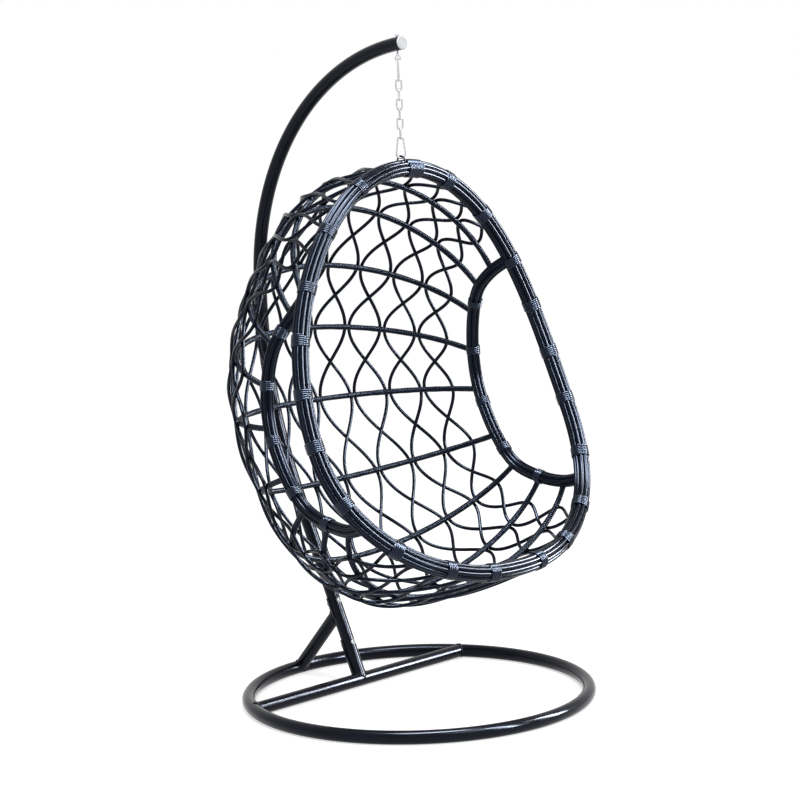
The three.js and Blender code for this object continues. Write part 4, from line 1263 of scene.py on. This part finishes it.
@dataclass
class Basket:
    """The rim, side loops, ribs, woven strands, windings and the hanging arch.

    Its own frame starts at the rim's top. Its wall is a smooth surface over stations: the
    rim's top arc is the first, every rib one and the rim's bottom arc the last. An angle
    goes around it, from 0 at the right to pi at the left.

    Attributes:
        hang: where the eye bolt passes the pole's centre line.
        hook_end: height of the lower hook's lowest wire centre below that point.
    """

    hang: Array
    hook_end: float
    body: str = "basket"
    half_width: float = 505 * MM
    height: float = 1075 * MM
    depth: float = 500 * MM
    widest_below_top: float = 705 * MM
    upper_fullness: float = 2.0
    lower_fullness: float = 2.2
    reach: float = 380 * MM
    straight_share: float = 0.25
    rim_radius: float = 24 * MM
    rim_strands: int = 9
    loop_radius: float = 19 * MM
    loop_strands: int = 7
    loop_top_below_rim_top: float = 284 * MM
    loop_bottom_below_rim_top: float = 905 * MM
    ribs: tuple[Rib, ...] = (
        Rib(0.745, 0.03, 0.298, 0.37, 0.035),
        Rib(0.74, 0.13, 0.345, 0.61, 0.11),
        Rib(0.79, 0.225, 0.42, 0.82, 0.27),
        Rib(0.82, 0.265, 0.525, 0.97, 0.445),
        Rib(0.835, 0.24, 0.63, 0.95, 0.645),
        Rib(0.84, 0.12, 0.75, 0.75, 0.855),
        Rib(0.84, -0.02, 0.822, 0.44, 1.035),
        Rib(0.85, -0.2, 0.852, 0.08, 1.11),
        Rib(0.865, -0.37, 0.858, -0.24, 1.095),
    )
    rib_radius: float = 8 * MM
    # The strand wound around a rib: its pitch, and one turn's ridge as places and heights.
    wrap_pitch: float = 5.4 * MM
    wrap_steps: int = 14
    wrap_bulge: float = 0.9 * MM
    wrap_plump: float = 0.5 * MM
    wrap_places: tuple[float, ...] = (0.0, 0.24, 0.5, 0.76)
    wrap_heights: tuple[float, ...] = (0.0, 0.86, 1.0, 0.86)
    strand_radius: float = 5.1 * MM
    columns: int = 11
    pair_spacing: float = 12 * MM
    # Windings: their middles along the rim from its top, and as shares along a side loop.
    rim_bindings: tuple[float, ...] = (
        0.181, 0.354, 0.528, 0.674, 0.819, 0.961, 1.131, 1.316, 1.484, 1.630)
    rim_binding_turns: float = 5.5
    loop_bindings: tuple[float, ...] = (0.2, 0.36, 0.52, 0.68, 0.84)
    loop_binding_turns: float = 4.5
    top_binding_start: float = 12 * MM
    top_binding_turns: float = 10
    binding_pitch: float = 5.6 * MM
    binding_width: float = 5.2 * MM
    binding_thickness: float = 3.6 * MM
    binding_sink: float = 1.5 * MM
    binding_tuck: float = 3 * MM
    arch_height: float = 12.7 * MM
    arch_radius: float = 14.5 * MM
    arch_rise_share: float = 0.45
    arch_foot: float = 17 * MM
    # Points along the rim, its arcs, a loop, a rib and the arch.
    rim_rows: int = 385
    arc_samples: int = 193
    loop_rows: int = 140
    rib_rows: int = 241
    arch_rows: int = 90
    strand_sides: int = 12
    seed: int = 7

    def __post_init__(self) -> None:
        """Work out the basket's own origin and its main lines."""
        crown = self.hook_end + WIRE + CLEARANCE
        self.origin = self.hang + (crown + WIRE / 2 - self.arch_height - self.rim_radius) * UP
        self.size = np.array([self.half_width, self.depth, self.height])
        self.last_station = len(self.ribs) + 1
        self.loop_top = self.rim_turn(self.loop_top_below_rim_top)
        self.loop_bottom = self.rim_turn(self.loop_bottom_below_rim_top)
        self.rim = self.rim_stretch(0.0, CIRCLE, self.rim_rows)
        rim_middle = np.array([0.0, -self.reach / 3, -self.height / 2])
        self.rim_outward = unit(self.rim - rim_middle)
        self.top_arc = self.rim_stretch(self.loop_top, -self.loop_top, self.arc_samples)
        self.bottom_arc = self.rim_stretch(self.loop_bottom, CIRCLE - self.loop_bottom,
                                           self.arc_samples)
        self.middle = np.array([0.0, self.depth / 3, -self.height / 2])
        self.random = np.random.default_rng(self.seed)

    # -- Lines --

    def rim_turn(self, below: float) -> float:
        """The rim's turn at a depth: its cosine is one less twice the share of the height."""
        return math.acos(1 - 2 * below / self.height)

    def rim_points(self, turns: Array) -> Array:
        """Points of the rim's centre line: an egg that curves forward as it goes down.

        Its width follows the rule of a superellipse: the share of the width and the share
        of the way from the widest place, each to a power, add to one. It reaches forward
        by a part that grows with the depth and a part that grows with its cube.

        Args:
            turns: (n,) turns from 0 at the top over the right side.

        Returns:
            (n, 3) points in the basket's own frame.
        """
        widest = self.widest_below_top
        below = self.height * (1 - np.cos(turns)) / 2
        upper = below <= widest
        share = np.where(upper, 1 - below / widest, (below - widest) / (self.height - widest))
        fullness = np.where(upper, self.upper_fullness, self.lower_fullness)
        inner = np.maximum(0.0, 1 - np.clip(share, 0.0, 1.0) ** fullness)
        wide = self.half_width * inner ** (1 / fullness) * np.where(np.sin(turns) >= 0, 1.0, -1.0)
        down = below / self.height
        forward = self.reach * (self.straight_share * down + (1 - self.straight_share) * down ** 3)
        return np.stack([wide, -forward, -below], axis=1)

    def rim_stretch(self, start: float, end: float, count: int) -> Array:
        """So many evenly spaced points of the rim between two turns."""
        fine = 1441
        return resample(self.rim_points(np.linspace(start, end, fine)), count)

    def station_points(self, angles: Array) -> Array:
        """Where each station passes the given angles.

        A rib is half an ellipse: its end times the angle's cosine, and its middle, less
        its ends' depth and height, times the sine.

        Args:
            angles: (n,) angles around the wall.

        Returns:
            (stations, n, 3) points.
        """
        share = angles / math.pi * (self.arc_samples - 1)
        top, bottom = (between_rows(share, np.arange(self.arc_samples), arc)
                       for arc in (self.top_arc, self.bottom_arc))
        cosine, sine = np.cos(angles)[:, None], np.sin(angles)[:, None]
        rows = [top]
        for rib in self.ribs:
            end, level = rib.end(self.size), rib.end(self.size) * (BACK + UP)
            rows.append(end * RIGHT * cosine + level + (rib.middle(self.size) - level) * sine)
        return np.stack([*rows, bottom])

    def wall(self, stations: Array, angles: Array) -> Array:
        """Points of the basket's wall: cubics from station to station.

        A cubic's slope at a station is half the way from the one before to the one after.

        Args:
            stations: (n,) places between the rim's top, 0, and its bottom.
            angles: (n,) angles around the wall.

        Returns:
            (n, 3) points in the basket's own frame.
        """
        rows = with_ghosts(self.station_points(angles))
        base = np.clip(np.floor(stations).astype(int), 0, self.last_station - 1)
        p0, p1, p2, p3 = (rows[base + step, np.arange(len(stations))] for step in range(4))
        return hermite((stations - base)[:, None], p1, p2, (p2 - p0) / 2, (p3 - p1) / 2)

    def wall_normals(self, stations: Array, angles: Array) -> Array:
        """Outward normals of the wall: the cross of its two slopes, turned to the outside.

        Args:
            stations: (n,) places from the rim's top.
            angles: (n,) angles around the wall.

        Returns:
            (n, 3) unit normals.
        """
        step = 0.01
        along = (self.wall(np.minimum(stations + step, self.last_station), angles)
                 - self.wall(np.maximum(stations - step, 0.0), angles))
        across = self.wall(stations, angles + step) - self.wall(stations, angles - step)
        normals = unit(np.cross(along, across))
        outward = self.wall(stations, angles) - self.middle
        return normals * np.where(np.sum(normals * outward, axis=1) < 0, -1.0, 1.0)[:, None]

    def side_loop(self, side: Side) -> Array:
        """Centre line of a side loop: a curve through the rim and the ends of all ribs.

        Args:
            side: its side.

        Returns:
            (n, 3) points.
        """
        top, bottom = self.rim_points(np.array([self.loop_top, self.loop_bottom]))
        knots = np.stack([top, *(rib.end(self.size) for rib in self.ribs), bottom])
        steps = 24
        return resample(centripetal(knots, steps), self.loop_rows) * [side.value, 1, 1]

    # -- Pieces --

    def make(self) -> None:
        """Make every piece of the basket."""
        self._rim()
        for side in Side:
            self._side_loop(side)
        for index in range(len(self.ribs)):
            self._rib(index)
        for gap in range(self.columns - 1):
            for lay in Lay:
                self._strand(gap, lay)
        self._rim_bindings()
        self._top_binding()
        self._arch()

    def _draw(self, low: float, high: float) -> float:
        """A random number between two, for a tint or a turn."""
        return float(self.random.uniform(low, high))

    def _bundle(self, path: Array, reference: Array, radius: float, count: int,
                closed: bool) -> Skin:
        """Parallel strands around a core, each touching its neighbours.

        A strand's radius is the ring's radius times the sine of half its share of the
        turn, and both add to the bundle's. Each strand wanders a little around the ring.

        Args:
            path: (n, 3) centre line.
            reference: (n, 3) or (3,) direction of the first strand.
            radius: outer radius of the bundle.
            count: how many strands lie around it.
            closed: whether the path closes on itself.

        Returns:
            A new skin with them.
        """
        sink = 0.15 * MM
        sides, wander_turn, wander_spacing = 14, 0.02, 26
        sine = math.sin(math.pi / count)
        ring = radius / (1 + sine)
        first, second = square_to(tangents(path, closed), reference)
        skin = Skin()
        for index in range(count):
            wander = smooth_noise(self.random, len(path), wander_spacing, closed)[:, None]
            turn = CIRCLE * (index + 0.5) / count + wander_turn * wander
            out = spoke(turn, first, second)
            skin.add_tube(path + (ring - sink) * out, oval(ring * sine, sides), out, closed,
                          tint=self._draw(0.0, 0.5))
        skin.add_tube(path, oval(ring, self.strand_sides), first, closed, tint=0.0)
        return skin

    def _binding(self, skin: Skin, path: Array, reference: Array, middle: float, turns: float,
                 radius: float, phase: float = 0.0) -> None:
        """Add a strand wound around a bundle: a helix whose ends are tucked under.

        Args:
            skin: where it goes.
            path: (n, 3) centre line of the bundle.
            reference: (n, 3) first axes of the bundle.
            middle: distance of the winding's middle along the path.
            turns: how many turns it has.
            radius: outer radius of the bundle.
            phase: where around the bundle it starts, in radians.
        """
        steps_per_turn, tucks_per_turn, sides = 40, 8, 10
        thick = self.binding_thickness / 2
        share = np.linspace(-0.5, 0.5, int(turns * steps_per_turn) + 1)
        lengths = arc_lengths(path)
        distance = np.mod(middle + share * turns * self.binding_pitch, lengths[-1])
        first, second = square_to(heading(path, distance),
                                  between_rows(distance, lengths, reference))
        out = spoke((CIRCLE * turns * share + phase)[:, None], first, second)
        free = np.minimum(share + 0.5, 0.5 - share) * turns * tucks_per_turn
        tucked = 1 - np.clip(free, 0.0, 1.0)[:, None]
        reach = radius + thick - self.binding_sink - tucked * self.binding_tuck
        section = oval(thick, sides, self.binding_width / self.binding_thickness)
        skin.add_tube(point_at(path, distance) + reach * out, section, out,
                      tint=self._draw(0.4, 0.6))

    def _rim(self) -> None:
        """The rim's bundle of strands."""
        path = self.rim[:-1] + self.origin
        skin = self._bundle(path, self.rim_outward[:-1], self.rim_radius, self.rim_strands, True)
        skin.build("rim_bundle", Finish.STRAND, self.body, "front_rim")

    def _rim_bindings(self) -> None:
        """The windings of the rim, the same at both sides but for where they start."""
        skin = Skin()
        path = self.rim + self.origin
        whole = arc_lengths(self.rim)[-1]
        for place in [*self.rim_bindings, *(whole - place for place in self.rim_bindings)]:
            self._binding(skin, path, self.rim_outward, place, self.rim_binding_turns,
                          self.rim_radius, phase=self._draw(0.0, 6.0))
        skin.build("rim_windings", Finish.WINDING, self.body)

    def _top_binding(self) -> None:
        """The wide winding beside the hanging arch."""
        middle = self.top_binding_start + self.top_binding_turns * self.binding_pitch / 2
        skin = Skin()
        self._binding(skin, self.rim + self.origin, self.rim_outward, middle,
                      self.top_binding_turns, self.rim_radius)
        skin.build("top_winding", Finish.WINDING, self.body, "top_binding")

    def _side_loop(self, side: Side) -> None:
        """A side loop's bundle and its windings.

        Args:
            side: its side.
        """
        name = side.name.lower()
        path = self.side_loop(side) + self.origin
        outward = np.broadcast_to(side.value * RIGHT, path.shape)
        skin = self._bundle(path, outward, self.loop_radius, self.loop_strands, closed=False)
        skin.build(f"{name}_loop_bundle", Finish.STRAND, self.body, f"side_loop_{name}")
        length = arc_lengths(path)[-1]
        windings = Skin()
        for share in self.loop_bindings:
            self._binding(windings, path, outward, share * length, self.loop_binding_turns,
                          self.loop_radius)
        windings.build(f"{name}_loop_windings", Finish.WINDING, self.body)

    def _rib(self, index: int) -> None:
        """A rod wrapped tightly with strand: a ridged strip wound in a helix.

        Row by row the strip turns around the rod and moves along it by its pitch; across
        the strip the radius rises to the ridge and falls again.

        Args:
            index: the rib's number from the top, from 0.
        """
        angles = np.linspace(0.0, math.pi, self.rib_rows)
        stations = np.full(len(angles), index + 1.0)
        path = self.wall(stations, angles)
        lengths = arc_lengths(path)
        turns = int(lengths[-1] / self.wrap_pitch)
        knots = np.arange(turns + 2)
        pitch_wander, size_wander = (smooth_noise(self.random, turns + 2, spacing)
                                     for spacing in (3, 4))
        whole = np.arange(turns * self.wrap_steps + 1)[:, None] / self.wrap_steps
        turn = whole + self.wrap_places
        uneven_size, uneven_pitch = 0.05, 0.25
        size = 1 + uneven_size * np.interp(turn, knots, size_wander)
        moved = turn - 0.5 + uneven_pitch * np.interp(turn, knots, pitch_wander)
        place = np.clip(moved * self.wrap_pitch, 0.0, lengths[-1])
        outward = between_rows(place, lengths, self.wall_normals(stations, angles))
        first, second = square_to(heading(path, place), outward)
        hollow = self.wrap_bulge * (1 - np.array(self.wrap_heights))
        radius = (self.rib_radius + self.wrap_plump - hollow) * size
        grid = point_at(path, place) + radius[..., None] * spoke(
            CIRCLE * whole[..., None], first, second)
        skin = Skin()
        skin.add_helix(grid + self.origin, self.wrap_steps, self._draw(0.35, 0.65))
        skin.build(f"wound_rib_{index + 1}", Finish.STRAND, self.body, f"rib_{index + 1}")

    def _strand(self, gap: int, lay: Lay) -> None:
        """A strand that swings between two columns, over or under its partner.

        Its angle follows a cosine of the station, which meets a column at every rib, and
        its height above the ribs a sine, so that the two of a pair cross between ribs.

        Args:
            gap: the gap between columns, from 0 at the right.
            lay: how it starts.
        """
        steps_per_station, step = 18, 0.01
        column_step = math.pi / (self.columns + 1)
        middle = (gap + 1.5) * column_step
        stations = np.linspace(0.0, self.last_station, self.last_station * steps_per_station + 1)
        centre = np.full(len(stations), middle)
        chord = self.wall(stations, centre + step) - self.wall(stations, centre - step)
        per_angle = np.linalg.norm(chord, axis=1) / (2 * step)
        swing = column_step / 2 - self.pair_spacing / 2 / per_angle
        angles = middle + lay.value * swing * np.cos(math.pi * stations)
        normals = self.wall_normals(stations, angles)
        over = np.sin(math.pi * stations) * lay.value * (self.strand_radius + CLEARANCE)
        lift = self.rib_radius + self.strand_radius
        path = self.wall(stations, angles) + (lift + over)[:, None] * normals
        uneven, spacing = 0.03, 9
        scale = 1 + uneven * smooth_noise(self.random, len(path), spacing)
        skin = Skin()
        skin.add_tube(path + self.origin, oval(self.strand_radius, self.strand_sides), normals,
                      scale=scale, tint=self._draw(0.0, 0.5))
        name = f"{gap + 1}_{lay.name.lower()}"
        skin.build(f"weave_{name}", Finish.STRAND, self.body, f"strand_{name}")

    def _arch(self) -> None:
        """The steel arch on the rim's top: half an ellipse on two legs."""
        crown = self.rim_radius + self.arch_height - WIRE / 2
        rise = crown * self.arch_rise_share
        bend_rows, sides = 36, 16
        turns = np.linspace(0.0, math.pi, bend_rows)[:, None]
        bend = (crown - rise) * UP + spoke(turns, self.arch_radius * BACK, rise * UP)
        feet = [side * self.arch_radius * BACK + (crown - rise - self.arch_foot) * UP
                for side in (1, -1)]
        path = resample(np.stack([feet[0], *bend, feet[1]]), self.arch_rows) + self.origin
        skin = Skin()
        skin.add_tube(path, oval(WIRE / 2, sides), RIGHT)
        skin.build("steel_arch", Finish.STEEL, self.body, "hanging_arch")


# ---- Stage ----


@dataclass(frozen=True)
class Lamp:
    """A soft box, so many metres away from the chair.

    Its turn, to the camera's right, and its rise are degrees around and above the chair.
    A radiance of 1 is that of a white background. One for gloss only shows only in the
    gloss of the dark finishes.
    """

    name: str
    turn: float
    rise: float
    away: float
    size: Span
    radiance: float
    gloss_only: bool


@dataclass
class Stage:
    """The floor, the lamps, the world and the camera."""

    camera_place: Triple = (-5.432, -5.280, 1.994)
    camera_forward: Triple = (0.71017, 0.68795, -0.1496)
    camera_roll: float = math.radians(-1.93)
    focal_per_width: float = 2738 / 800
    sensor_width: float = 36.0
    clip_end: float = 200.0
    floor_size: float = 60.0
    floor_shade: float = 0.82
    floor_roughness: float = 0.9
    floor_glow: float = 0.62
    ambient: float = 0.5
    lamp_aim: Triple = (0.0, 0.0, 0.95)
    lamps: tuple[Lamp, ...] = (
        Lamp("overhead", 0.0, 80.0, 3.4, (2.2, 1.2), 8.0, False),
        Lamp("key", 35.0, 38.0, 4.2, (1.4, 1.4), 8.0, False),
        Lamp("overhead_gloss", 20.0, 76.0, 3.4, (2.2, 1.0), 80.0, True),
        Lamp("key_gloss", 60.0, 28.0, 4.2, (0.5, 3.4), 130.0, True),
        Lamp("right_gloss", 98.0, 18.0, 4.2, (0.8, 2.4), 120.0, True),
    )
    dark_finishes: tuple[Finish, ...] = (Finish.STEEL, Finish.STRAND, Finish.WINDING)

    def make(self) -> None:
        """Make everything around the chair."""
        self._floor()
        self._world()
        self._light_lamps()
        self._camera()
        bpy.context.scene.view_settings.view_transform = "Standard"

    def _floor(self) -> None:
        """A pale floor that glows towards the camera, so that it ends in white."""
        half = self.floor_size / 2
        mesh = bpy.data.meshes.new("floor")
        corners = [(-half, -half, 0.0), (half, -half, 0.0), (half, half, 0.0), (-half, half, 0.0)]
        mesh.from_pydata(corners, [], [(0, 1, 2, 3)])
        tree = NodeTree.start(bpy.data.materials.new("pale_floor"))
        tree.set(Base_Color=(*[self.floor_shade] * 3, 1.0), Roughness=self.floor_roughness,
                 Specular_IOR_Level=0.0, Emission_Color=(1.0, 1.0, 1.0, 1.0))
        tree.join(tree.seen((0.0, self.floor_glow)), tree.shader, "Emission Strength")
        mesh.materials.append(tree.owner)
        show("floor", mesh)

    def _world(self) -> None:
        """White surroundings, dimmer for the light that they cast."""
        world = bpy.data.worlds.new("studio")
        bpy.context.scene.world = world
        tree = NodeTree.start(world, "Background")
        tree.set(Color=(1.0, 1.0, 1.0, 1.0))
        tree.join(tree.seen((self.ambient, 1.0)), tree.shader, "Strength")

    def _light_lamps(self) -> None:
        """Soft lamps for all, and lamps whose gloss draws lines on the dark finishes.

        A lamp's power is its radiance times pi times its area.
        """
        dark = bpy.data.collections.new("dark_finishes")
        dark_materials = [material(finish) for finish in self.dark_finishes]
        for piece in bpy.context.scene.objects:
            if piece.type == "MESH" and piece.active_material in dark_materials:
                dark.objects.link(piece)
        aim = Vector(self.lamp_aim)
        for lamp in self.lamps:
            light = bpy.data.lights.new(lamp.name, "AREA")
            light.shape = "RECTANGLE"
            light.size, light.size_y = lamp.size
            light.energy = lamp.radiance * math.pi * lamp.size[0] * lamp.size[1]
            piece = show(lamp.name, light)
            toward = -Vector((*self.camera_forward[:2], 0.0)).normalized()
            toward.rotate(Matrix.Rotation(math.radians(lamp.turn), 3, "Z"))
            rise = math.radians(lamp.rise)
            raised = math.cos(rise) * toward + math.sin(rise) * Vector(UP)
            piece.location = aim + lamp.away * raised
            piece.rotation_euler = (aim - piece.location).to_track_quat("-Z", "Y").to_euler()
            piece.visible_camera = False
            piece.visible_diffuse = not lamp.gloss_only
            if lamp.gloss_only:
                piece.light_linking.receiver_collection = dark

    def _camera(self) -> None:
        """The photo's camera: its axes from where it looks, rolled around that direction."""
        data = bpy.data.cameras.new("photo_view")
        data.sensor_width = self.sensor_width
        data.lens = self.sensor_width * self.focal_per_width
        data.clip_end = self.clip_end
        camera = show("photo_view", data)
        forward = Vector(self.camera_forward).normalized()
        right = forward.cross(Vector(UP)).normalized()
        up = right.cross(forward)
        cosine, sine = math.cos(self.camera_roll), math.sin(self.camera_roll)
        axes = Matrix((cosine * right + sine * up, cosine * up - sine * right, -forward))
        camera.matrix_world = (Matrix.Translation(self.camera_place)
                               @ axes.transposed().to_4x4())
        bpy.context.scene.camera = camera


def main() -> None:
    """Build the chair around the frame, and the stage around the chair."""
    dress_frame()
    stand = Stand()
    stand.make()
    chain = Chain(stand.hang)
    chain.make()
    Basket(stand.hang, chain.lower_end).make()
    Stage().make()


if __name__ == "__main__":
    main()
